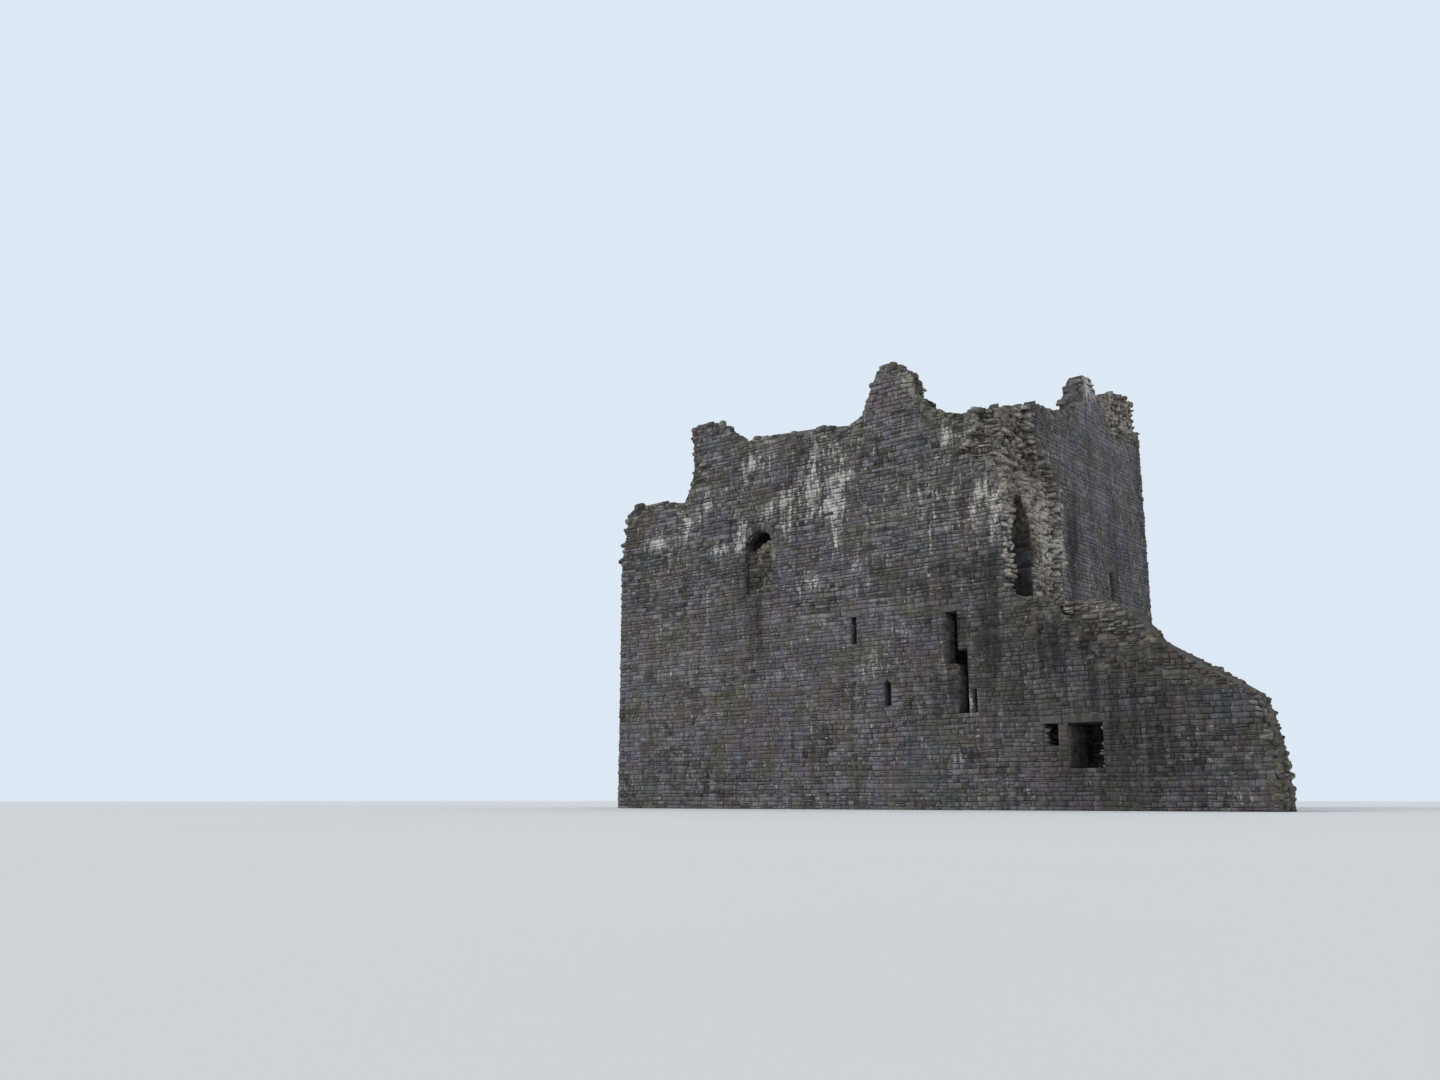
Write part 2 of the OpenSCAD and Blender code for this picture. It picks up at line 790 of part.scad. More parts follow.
module front_lintels() {
  color("silver") {
    slit_lintel(front_y, 1);
    pointed_loop_cap(front_y, 1);
    slot_lintel();
  }
}

module inner_door_lintel() {
  color("silver")
    inner_door_stone(floor_z + inner_door_high, floor_z + inner_door_high + lintel_high,
                     lintel_bearing);
}

module end_loop_lintel() {
  color("silver") end_lintel(east_x, -1);
}

module rear_lintels() {
  color("silver") {
    slit_lintel(rear_y, -1);
    pointed_loop_cap(rear_y, -1);
  }
}

module west_loop_lintel() {
  color("silver") end_lintel(west_x, 1);
}

// Front wall of the forebuilding between two planes, with facing lost from its top
module fore_front_wall(x0, x1) {
  difference() {
    intersection() {
      along_y(front_y, fore_core_y)
        polygon(down_to_foot(
          fore_points(concat(fore_front_near_break, fore_front_far_break)), fore_end_x
        ));
      block(x0, x1, front_y, fore_core_y, 0, sky_z);
    }
    along_y(front_y - past, front_y + scar_deep) polygon(fore_points(fore_scar));
  }
}

module low_lintels() {
  lintel(small_low_x0, small_low_x1, low_head_z, front_y, 1, low_bearing);
  lintel(wide_low_x0, wide_low_x1, low_head_z, front_y, 1, low_bearing);
}

module low_openings_void() {
  along_y(front_y - past, fore_core_y + past) {
    translate([small_low_x0, low_sill_z + small_low_sill])
      square([small_low_wid, low_head - small_low_sill]);
    translate([wide_low_x0, low_sill_z]) square([wide_low_wid, low_head]);
  }
}

module fore_front_near() {
  color("dimgray") difference() {
    fore_front_wall(east_x, fore_split_x);
    low_openings_void();
    low_lintels();
  }
}

module fore_front_far() {
  color("dimgray") fore_front_wall(fore_split_x, fore_end_x);
}

module fore_low_lintels() {
  color("silver") low_lintels();
}

// Rubble between the forebuilding's walls, with the recess behind the low openings
module fore_core() {
  color("tan") difference() {
    along_y(fore_core_y, fore_rear_y)
      polygon(down_to_foot(fore_points(fore_core_break), east_x + fore_core_foot));
    block(small_low_x0, wide_low_x1, fore_core_y - past, fore_core_y + low_recess,
          low_sill_z, low_head_z);
  }
}

module fore_rear_wall() {
  color("dimgray")
    along_y(fore_rear_y, fore_rear_y + fore_rear)
      polygon(down_to_foot(fore_points(fore_rear_break), east_x + fore_rear_foot));
}

lower_front_wall();
lower_corner();
lower_end_wall();
lower_rear_wall();
lower_west_wall();
upper_front_west();
front_window_sill();
front_window_wall();
front_window_arch();
front_window_rear_arch();
front_window_blocking();
upper_front_middle();
corner_outer_skin();
corner_hall_skin();
corner_crown();
doorway_head();
doorway_jamb();
upper_end_wall();
upper_rear_east();
rear_window_sill();
rear_window_wall();
rear_window_arch();
rear_window_rear_arch();
upper_rear_west();
upper_west_wall();
front_lintels();
inner_door_lintel();
end_loop_lintel();
rear_lintels();
west_loop_lintel();
fore_front_near();
fore_front_far();
fore_low_lintels();
fore_core();
fore_rear_wall();
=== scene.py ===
import json
import math
from dataclasses import dataclass
from itertools import pairwise, product

import bmesh
import bpy
import numpy as np
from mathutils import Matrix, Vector
from mathutils.bvhtree import BVHTree


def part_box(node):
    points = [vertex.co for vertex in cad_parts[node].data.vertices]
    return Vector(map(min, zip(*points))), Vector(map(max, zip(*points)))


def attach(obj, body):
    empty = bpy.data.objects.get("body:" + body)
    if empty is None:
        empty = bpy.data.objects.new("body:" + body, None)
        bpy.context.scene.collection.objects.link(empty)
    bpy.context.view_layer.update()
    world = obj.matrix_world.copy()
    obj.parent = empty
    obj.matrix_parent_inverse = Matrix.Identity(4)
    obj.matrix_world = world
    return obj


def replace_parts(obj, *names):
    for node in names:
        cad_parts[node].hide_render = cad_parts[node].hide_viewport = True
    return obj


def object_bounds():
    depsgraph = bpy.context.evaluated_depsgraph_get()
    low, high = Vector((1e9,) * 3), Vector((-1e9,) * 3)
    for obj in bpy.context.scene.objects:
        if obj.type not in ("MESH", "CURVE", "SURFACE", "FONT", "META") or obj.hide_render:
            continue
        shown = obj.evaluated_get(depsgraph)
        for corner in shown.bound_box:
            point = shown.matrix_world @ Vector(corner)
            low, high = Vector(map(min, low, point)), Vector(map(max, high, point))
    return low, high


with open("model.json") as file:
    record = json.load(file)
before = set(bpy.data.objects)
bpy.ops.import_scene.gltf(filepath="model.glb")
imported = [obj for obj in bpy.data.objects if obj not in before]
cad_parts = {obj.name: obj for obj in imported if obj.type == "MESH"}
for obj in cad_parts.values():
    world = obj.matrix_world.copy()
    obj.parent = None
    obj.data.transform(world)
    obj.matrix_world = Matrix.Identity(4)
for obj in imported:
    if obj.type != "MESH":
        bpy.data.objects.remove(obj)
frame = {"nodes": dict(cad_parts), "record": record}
cad_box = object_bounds()
nodes = frame["nodes"]

SEED = 11
BODY = "root"


def draws(*seed):
    return np.random.default_rng(seed)


# Nodes by what they are built of
slot_of = {part["node"]: part["material_slot"] for part in frame["record"]["subparts"]}
DRESSED = {name for name, slot in slot_of.items() if slot == "dressed_stone"}
BROKEN = {name for name, slot in slot_of.items() if slot == "rubble_core"}

# Places taken from the frame
WEST_X, FRONT_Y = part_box("lower_front_wall")[0][:2]
EAST_X, REAR_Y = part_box("lower_rear_wall")[1][:2]
FLOOR_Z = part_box("lower_end_wall")[1][2]
FORE_REAR_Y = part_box("fore_rear_wall")[1][1]
TOP_Z = cad_box[1][2]
LOWER_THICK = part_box("lower_front_wall")[1][1] - FRONT_Y
UPPER_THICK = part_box("upper_front_middle")[1][1] - FRONT_Y

# Sizes that the solids share
GROUND_Z = 1.15
OUTER_LEAF = 1.1
SCAR_DEEP = 0.22
SHAFT_EAST_X = 3.75
DOOR_FAR_Y = -3.9
ARCH_RING = 0.3
ORDER_STONES = 11
REAR_ARCH_STONES = 15

# Heights of courses and of rubble beds
COURSE_HIGH = (0.1, 0.19)
RUBBLE_HIGH = (0.1, 0.19)

# Gap between two stones, how far the mortar between them stands out of the wall's plane, and how far
# at least a stone's face stands out of its mortar
GAP = 0.002
MORTAR_OUT = 0.004
FACE_CLEAR = 0.001

# The photograph's camera: its place from the near corner, height, heading, pitch and lens
CAMERA_FROM_CORNER = (16.52, -33.14)
EYE_Z = 0.29
HEADING_DEG = 40.0
PITCH_DEG = 12.0
LENS_MM = 30.6

# How near counts as touching, how far in front of a face it is asked whether it meets open air, and
# the least size of a face
TOUCH = 1e-4
IN_FRONT = 0.03
LEAST_FACE = 1e-6

# Most that an upright face's normal may lean, and what counts as the same plane
UPRIGHT = 0.02
SAME_WAY = 0.999
SAME_PLACE = 0.01


# Solids as triangles, with trees for rays

class Solid:
    """A node's triangles, its box and a tree for rays."""

    def __init__(self, name, obj):
        obj.data.calc_loop_triangles()
        self.name = name
        self.points = np.array([vertex.co for vertex in obj.data.vertices])
        self.triangles = np.array([list(face.vertices) for face in obj.data.loop_triangles])
        self.corners = self.points[self.triangles]
        self.low = self.points.min(0)
        self.high = self.points.max(0)
        self.tree = BVHTree.FromPolygons(self.points.tolist(), self.triangles.tolist())

    def faces(self):
        """Each triangle's corners, normal and area."""
        a, b, c = self.corners.transpose(1, 0, 2)
        normals = np.cross(b - a, c - a)
        for corners, normal, double in zip(self.corners, normals, np.linalg.norm(normals, axis=1)):
            if double > LEAST_FACE:
                yield corners, normal / double, double / 2

    def holds(self, point):
        """Whether a point lies inside, by counting the faces above it."""
        way = Vector((0.013, 0.017, 1.0)).normalized()
        start = Vector(point)
        count = 0
        while True:
            hit = self.tree.ray_cast(start, way)[0]
            if hit is None:
                return count % 2 == 1
            count += 1
            start = hit + way * TOUCH


solids = [Solid(name, nodes[name]) for name in sorted(nodes)]


def open_air(points):
    """True where a point lies in no solid."""
    free = np.ones(len(points), bool)
    for solid in solids:
        near = np.all((points > solid.low + TOUCH) & (points < solid.high - TOUCH), axis=1)
        for i in np.flatnonzero(near & free):
            free[i] = not solid.holds(points[i])
    return free


# Vertical faces, gathered into planes

class Plane:
    """A vertical plane with its triangles in (u, z); u runs to the right, seen from outside."""

    def __init__(self, normal, offset):
        self.normal = np.array([normal[0], normal[1], 0.0])
        self.along = np.array([-normal[1], normal[0], 0.0])
        self.offset = offset
        self.flat = []
        self.names = set()

    def add(self, name, corners):
        self.flat.append(np.stack([corners @ self.along, corners[:, 2]], axis=1))
        self.names.add(name)

    def close(self):
        self.flat = np.array(self.flat)
        self.u0, self.z0 = self.flat.reshape(-1, 2).min(0)
        self.u1, self.z1 = self.flat.reshape(-1, 2).max(0)

    def place(self, u, z, out):
        """World points from (u, z) and a distance out of the plane."""
        u, z, out = np.broadcast_arrays(u, z, out)
        points = u[..., None] * self.along + (self.offset + out)[..., None] * self.normal
        points[..., 2] = z
        return points

    def covered(self, u, z):
        """True where the plane has a face."""
        inside = np.zeros(u.shape, bool)
        for a, b, c in self.flat:
            sides = [
                (q[0] - p[0]) * (z - p[1]) - (q[1] - p[1]) * (u - p[0])
                for p, q in ((a, b), (b, c), (c, a))
            ]
            inside |= np.all(np.array(sides) > -1e-7, axis=0)
        return inside

    def bare(self, u, z):
        """True where the plane has a face with open air in front of it."""
        found = self.covered(u, z)
        index = np.flatnonzero(found)
        found[index] = open_air(self.place(u[index], z[index], IN_FRONT))
        return found

    def lies(self, normal, offset):
        return self.normal[:2] @ np.array(normal) > SAME_WAY and abs(self.offset - offset) < SAME_PLACE


def vertical_planes():
    planes = {}
    for solid in solids:
        if solid.name in DRESSED:
            continue
        for corners, normal, _ in solid.faces():
            if abs(normal[2]) > UPRIGHT:
                continue
            flat = normal[:2] / np.linalg.norm(normal[:2])
            offset = float(flat @ corners[0, :2])
            key = tuple(round(float(v), 2) + 0.0 for v in (*flat, offset))
            planes.setdefault(key, Plane(flat, offset)).add(solid.name, corners)
    for plane in planes.values():
        plane.close()
    return [planes[key] for key in sorted(planes)]


# The keep's outer faces: the way each looks and how far out it is
OUTER = {
    "front": ((0, -1), -FRONT_Y), "end": ((1, 0), EAST_X),
    "rear": ((0, 1), REAR_Y), "west": ((-1, 0), -WEST_X),
}

# How far behind the outer faces those lie that look in
INNER = (("hall", LOWER_THICK), ("hall", UPPER_THICK), ("leaf", OUTER_LEAF))

# Known planes: the way they look, how far out they are, and what they are
KNOWN_PLANES = [
    *((way, offset, kind) for kind, (way, offset) in OUTER.items()),
    *(((-x, -y), deep - offset, kind) for (x, y), offset in OUTER.values() for kind, deep in INNER),
    ((0, 1), FORE_REAR_Y, "fore_rear"),
    ((1, 0), EAST_X - SCAR_DEEP, "scar"),
    ((0, -1), -FRONT_Y - SCAR_DEEP, "scar"),
    ((0, -1), -DOOR_FAR_Y, "shaft"),
    ((-1, 0), -SHAFT_EAST_X, "shaft"),
]
LOOKS_EAST = 0.3


def kind_of(plane):
    for normal, offset, kind in KNOWN_PLANES:
        if plane.lies(normal, offset):
            return kind
    if "front_window_blocking" in plane.names:
        return "blocking"
    if "fore_core" in plane.names:
        return "fore_core"
    torn_skin = "corner_outer_skin" in plane.names and plane.normal[0] > LOOKS_EAST
    return "scar" if torn_skin or plane.names & BROKEN else "reveal"


# Courses, the same all round the building

def levels(low_high, seed):
    rng = draws(seed)
    found = [0.0]
    while found[-1] < TOP_Z + 0.5:
        found.append(found[-1] + rng.uniform(*low_high))
    return np.array(found)


courses = levels(COURSE_HIGH, SEED)
rubble_beds = levels(RUBBLE_HIGH, SEED + 1)


def sway(points):
    """Slow rise and fall of the courses, the same wherever two walls meet."""
    x, y, z = points[..., 0], points[..., 1], points[..., 2]
    long_wave = 0.012 * np.sin(0.9 * x + 0.7 * y + 1.3 * z)
    short_wave = 0.008 * np.sin(2.3 * x - 1.9 * y + 0.6 * z)
    ripple = 0.007 * np.sin(6.1 * x + 5.3 * y - 4.1 * z) * np.sin(1.7 * x - 1.3 * y + 2.3 * z)
    return long_wave + short_wave + ripple


@dataclass
class Style:
    """How a kind of walling is laid."""

    lengths: tuple  # of stones: mean, least and most
    proud: tuple  # how far the faces stand out, least and most
    rough: float  # shake of a face's corners
    tilt: float  # lean of a face
    edge: float  # worn edge round a face
    beds: np.ndarray  # heights of the courses
    lost: float = 0.0  # share of stones that are missing
    thin: float = 0.0  # share laid as two thin stones
    slack: float = 0.0  # share of its height that a stone may fall short
    contrast: float = 1.0  # spread of the stones' tones


FACING = Style((0.25, 0.09, 0.56), (0.012, 0.052), 0.008, 0.008, 0.018, courses,
               lost=0.01, thin=0.1, slack=0.1)
LOWER = Style((0.25, 0.09, 0.54), (0.012, 0.046), 0.006, 0.006, 0.018, courses,
              lost=0.004, thin=0.2, slack=0.05, contrast=0.6)
CALM = Style((0.25, 0.09, 0.5), (0.012, 0.046), 0.006, 0.005, 0.016, courses,
             lost=0.003, thin=0.2, slack=0.03, contrast=0.4)
WORN = Style((0.22, 0.1, 0.4), (-0.02, 0.06), 0.014, 0.02, 0.024, courses,
             lost=0.05, thin=0.3, slack=0.1)
PLAIN = Style((0.29, 0.11, 0.58), (0.005, 0.027), 0.007, 0.007, 0.018, courses,
              lost=0.008, thin=0.06, slack=0.08)
HALL = Style((0.36, 0.14, 0.66), (0.005, 0.027), 0.007, 0.007, 0.02, courses,
             lost=0.008, thin=0.02, slack=0.06)
REVEAL = Style((0.3, 0.14, 0.5), (0.004, 0.014), 0.002, 0.002, 0.014, courses)
RUBBLE = Style((0.25, 0.1, 0.48), (-0.05, 0.15), 0.02, 0.026, 0.032, rubble_beds,
               lost=0.17, thin=0.25, slack=0.1)
CORE = Style((0.24, 0.12, 0.42), (-0.01, 0.07), 0.014, 0.016, 0.026, rubble_beds,
             lost=0.06, slack=0.08)

# For each kind of plane: the piece that covers it, its style and the step of the survey
KINDS = {
    "front": ("front_facing", FACING, 0.08),
    "end": ("end_facing", CALM, 0.08),
    "rear": ("rear_facing", PLAIN, 0.08),
    "west": ("west_facing", PLAIN, 0.08),
    "fore_rear": ("fore_rear_facing", PLAIN, 0.08),
    "hall": ("hall_facing", HALL, 0.09),
    "reveal": ("reveal_stones", REVEAL, 0.05),
    "shaft": ("shaft_stones", REVEAL, 0.06),
    "leaf": ("broken_leaf_rubble", CORE, 0.07),
    "scar": ("robbed_corner_rubble", RUBBLE, 0.05),
    "blocking": ("window_blocking_rubble", CORE, 0.05),
    "fore_core": ("fore_core_rubble", RUBBLE, 0.07),
}


# Heights at which a course is surveyed, how many of them have to be bare, and how often the last step
# of a stretch is halved to find its end
SURVEYED = 4
LEAST_BARE = 2
HALVINGS = 5


def runs_of(plane, style, step):
    """Stretches that take stones: course, left end, right end, bottom and top."""
    beds = style.beds
    first = max(0, int(np.searchsorted(beds, plane.z0)) - 1)
    last = min(len(beds) - 1, int(np.searchsorted(beds, plane.z1)))
    low, high = beds[first:last], beds[first + 1:last + 1]
    u = np.arange(plane.u0 + step / 2, plane.u1, step)
    if len(u) == 0 or len(low) == 0:
        return []
    share = (np.arange(SURVEYED) + 0.5) / SURVEYED
    z = low[:, None] + (high - low)[:, None] * share
    uu, zz = np.broadcast_arrays(u, z[:, :, None])
    bare = plane.bare(uu.ravel(), zz.ravel()).reshape(uu.shape)
    count, start = bare.sum(1), bare.argmax(1)
    end = SURVEYED - bare[:, ::-1].argmax(1)
    code = np.where((count >= LEAST_BARE) & (end - start == count), start * (SURVEYED + 1) + count, 0)
    found = []
    for k, row in enumerate(code):
        part = (high[k] - low[k]) / SURVEYED
        edges = np.flatnonzero(np.diff(np.concatenate([[-1], row, [-1]])))
        for i, j in pairwise(edges):
            begin, many = divmod(int(row[i]), SURVEYED + 1)
            if many:
                bottom = low[k] + begin * part
                found.append((first + k, i, j - 1, bottom, bottom + many * part))
    if not found:
        return []
    middle = np.array([(run[3] + run[4]) / 2 for run in found])
    ends = []
    for side, way in ((1, -1), (2, 1)):
        index = np.array([run[side] for run in found])
        rows = np.array([run[0] - first for run in found])
        beside = np.clip(index + way, 0, len(u) - 1)
        joined = (beside != index) & (code[rows, beside] > 0)
        good = u[index]
        bad = good + way * step
        for _ in range(HALVINGS):
            half = (good + bad) / 2
            fine = plane.bare(half, middle)
            good = np.where(fine, half, good)
            bad = np.where(fine, bad, half)
        ends.append(np.where(joined, u[index] + way * step / 2, good))
    return [(run[0], left, right, *run[3:]) for run, left, right in zip(found, *ends)]


LENGTH_SPREAD = 0.4
LONG_REST = 1.4


def lengths_for(width, style, rng):
    """Stone lengths that fill a width; a long rest is split in two."""
    mean, least, most = style.lengths
    found = []
    left = width
    while left > most:
        size = float(np.clip(mean * math.exp(rng.normal(0, LENGTH_SPREAD)), least, most))
        found.append(size)
        left -= size
    if left > max(2 * least, LONG_REST * mean):
        share = rng.uniform(0.4, 0.6)
        found += [left * share, left * (1 - share)]
    elif left < least and found:
        found[-1] += left
    else:
        found.append(left)
    return found


# Shapes of single stones, made many at a time

# Side of each corner of a stone's face, across and up
ROUND_W = np.array([-1.0, 1.0, 1.0, -1.0])
ROUND_H = np.array([-1.0, -1.0, 1.0, 1.0])

# Most of half a stone that its worn edge takes, how uneven that is, and how uneven the mortar is
EDGE_SHARE = 0.35
EDGE_SHAKE = 0.3
MORTAR_SHAKE = 0.001


def block_faces():
    """Faces of a block: a fan for the stone's face, the mortar round it, the sides and the back."""
    face, rim, back, middle = range(0, 4), range(4, 8), range(8, 12), 12
    faces = [list(back)[::-1]]
    for s, t in ((0, 1), (1, 2), (2, 3), (3, 0)):
        faces.append([face[s], face[t], middle])
        faces.append([rim[s], rim[t], face[t], face[s]])
        faces.append([back[s], back[t], rim[t], rim[s]])
    return faces


def block_points(wide, high, proud, deep, edge, rough, tilt, rng):
    """Points of blocks: how far across, up and out, each as (blocks, points). The stone's face
    rises from a rim of mortar that stands nearly level with the wall's plane."""
    count = len(wide)
    half_w, half_h = (wide - GAP)[:, None] / 2, (high - GAP)[:, None] / 2
    inset = np.minimum(edge[:, None], EDGE_SHARE * np.minimum(half_w, half_h))
    shake = rng.normal(0, 1, (3, count, 4))
    lean = rng.normal(0, 1, (2, count, 1)) * tilt[:, None]
    mortar = np.minimum(MORTAR_OUT, proud[:, None] - 2 * FACE_CLEAR)
    mortar = mortar + rng.normal(0, MORTAR_SHAKE, (count, 4))
    face_w = ROUND_W * (half_w - inset) + shake[0] * EDGE_SHAKE * inset
    face_h = ROUND_H * (half_h - inset) + shake[1] * EDGE_SHAKE * inset
    face_out = proud[:, None] + lean[0] * ROUND_W + lean[1] * ROUND_H + shake[2] * rough[:, None]
    face_out = np.maximum(face_out, mortar + FACE_CLEAR)
    bulge = face_out.mean(1, keepdims=True) + rng.uniform(0, 1.5, (count, 1)) * rough[:, None]
    across = [face_w, ROUND_W * half_w, ROUND_W * half_w, face_w.mean(1, keepdims=True)]
    up = [face_h, ROUND_H * half_h, ROUND_H * half_h, face_h.mean(1, keepdims=True)]
    out = [face_out, mortar, np.repeat(-deep[:, None], 4, axis=1), bulge]
    return tuple(np.concatenate(parts, axis=1) for parts in (across, up, out))


def rock_template():
    """Points and faces of a cube whose sides are cut two by two."""
    keys = [key for key in product((-1, 0, 1), repeat=3) if any(key)]
    index = {key: i for i, key in enumerate(keys)}
    faces = []
    for axis, p, q in ((0, 1, 2), (1, 2, 0), (2, 0, 1)):
        for side, a, b in product((-1, 1), (-1, 0), (-1, 0)):
            quad = []
            for da, db in ((0, 0), (1, 0), (1, 1), (0, 1)):
                key = [0, 0, 0]
                key[axis], key[p], key[q] = side, a + da, b + db
                quad.append(index[tuple(key)])
            faces.append(quad if side > 0 else quad[::-1])
    return np.array(keys, float), faces


ROCK_POINTS, ROCK_FACES = rock_template()
BLOCK = (block_faces(), np.array([0.0] * 4 + [1.0] * 8 + [0.0]))
ROCK = (ROCK_FACES, np.zeros(len(ROCK_POINTS)))


def rock_points(rocks, rounding, rough, rng):
    """World points of rocks, each given as its centre, axes (rows) and half sizes."""
    centre, axes, half = (np.array(column) for column in zip(*rocks))
    reach = np.linalg.norm(ROCK_POINTS, axis=1)[:, None]
    shape = ROCK_POINTS * (1 - rounding * (reach - 1) / (math.sqrt(3) - 1))
    local = shape[None] * half[:, None, :]
    local = local + rng.normal(0, rough, local.shape) * half[:, None, :]
    return centre[:, None, :] + local @ axes


LOWEST = 0.004


def build(name, points, shape, tones, marks, material):
    """One object from many stones of one shape; points is (stones, points, 3)."""
    faces, rim = shape
    stones, count = points.shape[:2]
    low = points[..., 2].min(1, keepdims=True)
    high = points[..., 2].max(1, keepdims=True)
    rise = (points[..., 2] - low) / (high - low)
    points = points.reshape(-1, 3)
    points[:, 2] = np.maximum(points[:, 2] + sway(points), LOWEST)
    totals = np.array([len(face) for face in faces])
    loops = (np.concatenate(faces) + count * np.arange(stones)[:, None]).ravel()
    starts = np.concatenate([[0], np.cumsum(np.tile(totals, stones))[:-1]])
    mesh = bpy.data.meshes.new(name)
    mesh.vertices.add(stones * count)
    mesh.vertices.foreach_set("co", points.ravel())
    mesh.loops.add(len(loops))
    mesh.loops.foreach_set("vertex_index", loops)
    mesh.polygons.add(len(starts))
    mesh.polygons.foreach_set("loop_start", starts)
    mesh.update(calc_edges=True)
    values = marks_at(marks, points)
    values["tone"], values["hue"] = np.repeat(tones, count, axis=0).T
    values["rise"] = rise.ravel()
    values["rim"] = np.tile(rim, stones)
    print(name, stones)
    return show(name, mesh, values, material)


def build_rocks(name, rocks, worn, marks, material, rng):
    """One object from rocks, worn by this rounding and roughness, each with tones of its own."""
    points = rock_points(rocks, *worn, rng)
    return build(name, points, ROCK, rng.uniform(0, 1, (len(points), 2)), marks, material)


def show(name, mesh, values, material):
    """An object of a mesh, with the values that its material reads."""
    for key, value in values.items():
        attribute = mesh.attributes.new(key, "FLOAT", "POINT")
        attribute.data.foreach_set("value", value.astype(np.float32))
    mesh.materials.append(stone[material])
    obj = bpy.data.objects.new(name, mesh)
    bpy.context.scene.collection.objects.link(obj)
    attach(obj, BODY)
    return obj


# Marks on the walls: lime that has run down, damp, painted shade in the shaft, and pale clean stone that
# on the end's torn corner is also painted light. Each is a place along the wall from the near corner, a
# height above the keep's ground, half its width and height, and a strength.

LIME_FRONT = [
    (7.5, 9.6, 4.5, 2.6, 0.22), (6.6, 9.3, 1.1, 1.3, 0.3), (1.4, 8.3, 1.6, 2.0, 0.28),
    (7.1, 10.5, 0.12, 0.75, 1.1), (7.2, 9.6, 0.35, 0.35, 1.2), (7.15, 8.8, 0.12, 0.5, 0.9),
    (6.3, 8.9, 0.4, 0.24, 1.8), (6.2, 8.2, 0.17, 0.75, 1.6), (5.8, 9.8, 0.55, 0.16, 1.1),
    (6.2, 10.8, 0.4, 0.5, 0.5), (6.1, 9.4, 0.3, 0.3, 0.7), (9.7, 11.0, 0.5, 0.35, 0.9),
    (10.1, 10.4, 0.16, 0.5, 1.0), (10.2, 8.5, 0.3, 0.4, 0.9), (9.0, 9.1, 0.3, 0.3, 0.8),
    (8.4, 9.3, 0.1, 0.5, 1.5), (8.1, 9.2, 0.1, 0.5, 1.4), (8.3, 8.4, 0.3, 0.3, 0.6),
    (14.3, 8.6, 0.7, 0.3, 1.4), (12.9, 9.0, 0.2, 0.45, 1.4), (12.4, 9.3, 0.4, 0.4, 0.8),
    (11.3, 8.0, 0.4, 0.2, 1.3), (11.9, 9.7, 0.12, 0.5, 1.3), (10.35, 8.2, 0.14, 0.6, 1.5),
    (4.9, 3.6, 0.12, 1.0, 0.7), (4.3, 4.2, 0.12, 0.8, 0.6), (5.2, 3.3, 0.2, 0.6, 0.4),
    (3.2, 8.6, 1.2, 0.7, 0.4), (0.9, 10.4, 0.35, 0.2, 1.5), (0.65, 8.5, 0.3, 0.25, 0.9),
    (1.98, 10.45, 0.22, 0.4, 1.4), (1.6, 10.2, 0.16, 0.3, 0.8), (0.47, 7.3, 0.12, 0.7, 0.7),
    (2.4, 3.3, 0.1, 0.5, 0.8), (8.9, 7.6, 0.1, 0.5, 0.8), (13.7, 7.6, 0.1, 0.6, 0.7),
    (0.85, 8.1, 0.12, 0.5, 0.9), (0.35, 8.1, 0.2, 0.25, 1.1), (0.05, 8.0, 0.25, 0.2, 1.0),
    (0.3, 7.5, 0.12, 0.6, 0.9), (1.05, 7.5, 0.1, 0.5, 0.9), (3.7, 3.9, 0.14, 0.8, 0.9),
    (1.45, 1.9, 0.2, 0.7, 0.8), (4.5, 3.3, 0.3, 0.3, 0.6), (5.4, 6.8, 0.2, 0.6, 0.5),
    (2.7, 6.4, 0.14, 0.8, 0.9), (7.3, 6.3, 0.45, 0.3, 1.1), (-0.65, 2.6, 0.5, 0.3, 0.5),
    (-2.3, 3.1, 0.6, 0.3, 0.4),
]
DAMP_FRONT = [
    (10.15, 7.0, 0.3, 0.9, 0.9), (5.6, 4.6, 0.15, 0.5, 0.7), (2.8, 4.8, 0.2, 0.7, 0.7),
    (2.0, 4.4, 0.3, 1.2, 0.8), (7.6, 10.9, 0.4, 0.2, 0.8), (0.5, 5.9, 0.3, 0.8, 0.6),
    (3.4, 2.2, 0.25, 1.0, 0.6), (-1.3, 3.5, 0.4, 0.8, 0.5), (12.9, 7.0, 0.4, 0.9, 0.4),
    # The wide mark at (-3.4, 1.2) darkens the forebuilding's lower face as a whole
    (-3.4, 1.2, 3.4, 3.8, 0.85), (8.1, 10.3, 0.5, 0.6, 0.4), (9.6, 5.2, 0.35, 1.3, 0.9),
    (0.8, 3.6, 0.5, 2.0, 0.8), (1.8, 6.2, 1.4, 0.6, 0.5), (11.4, 5.4, 0.3, 1.2, 0.5),
    (9.5, 6.9, 0.5, 0.9, 0.7), (-0.8, 3.3, 1.4, 1.2, 0.7), (2.6, 9.9, 2.0, 1.4, 0.35),
    (2.0, 3.4, 0.55, 1.9, 0.8), (4.1, 3.7, 1.4, 1.1, 0.35),
]
PALE_FRONT = [
    (3.9, 12.8, 1.7, 1.4, 1.7), (10.6, 11.6, 0.8, 0.5, 0.3), (5.5, 4.0, 2.4, 1.2, 0.2),
    (6.5, 9.0, 2.0, 1.2, 0.1), (-4.0, 4.5, 2.0, 0.5, 0.3), (1.2, 6.6, 2.2, 2.4, 0.15),
    (-1.7, 2.5, 1.3, 0.5, 0.6), (13.0, 5.0, 2.4, 3.0, 0.55), (8.0, 5.0, 2.6, 2.2, 0.25),
    (4.2, 7.7, 2.0, 1.8, 0.4),
]
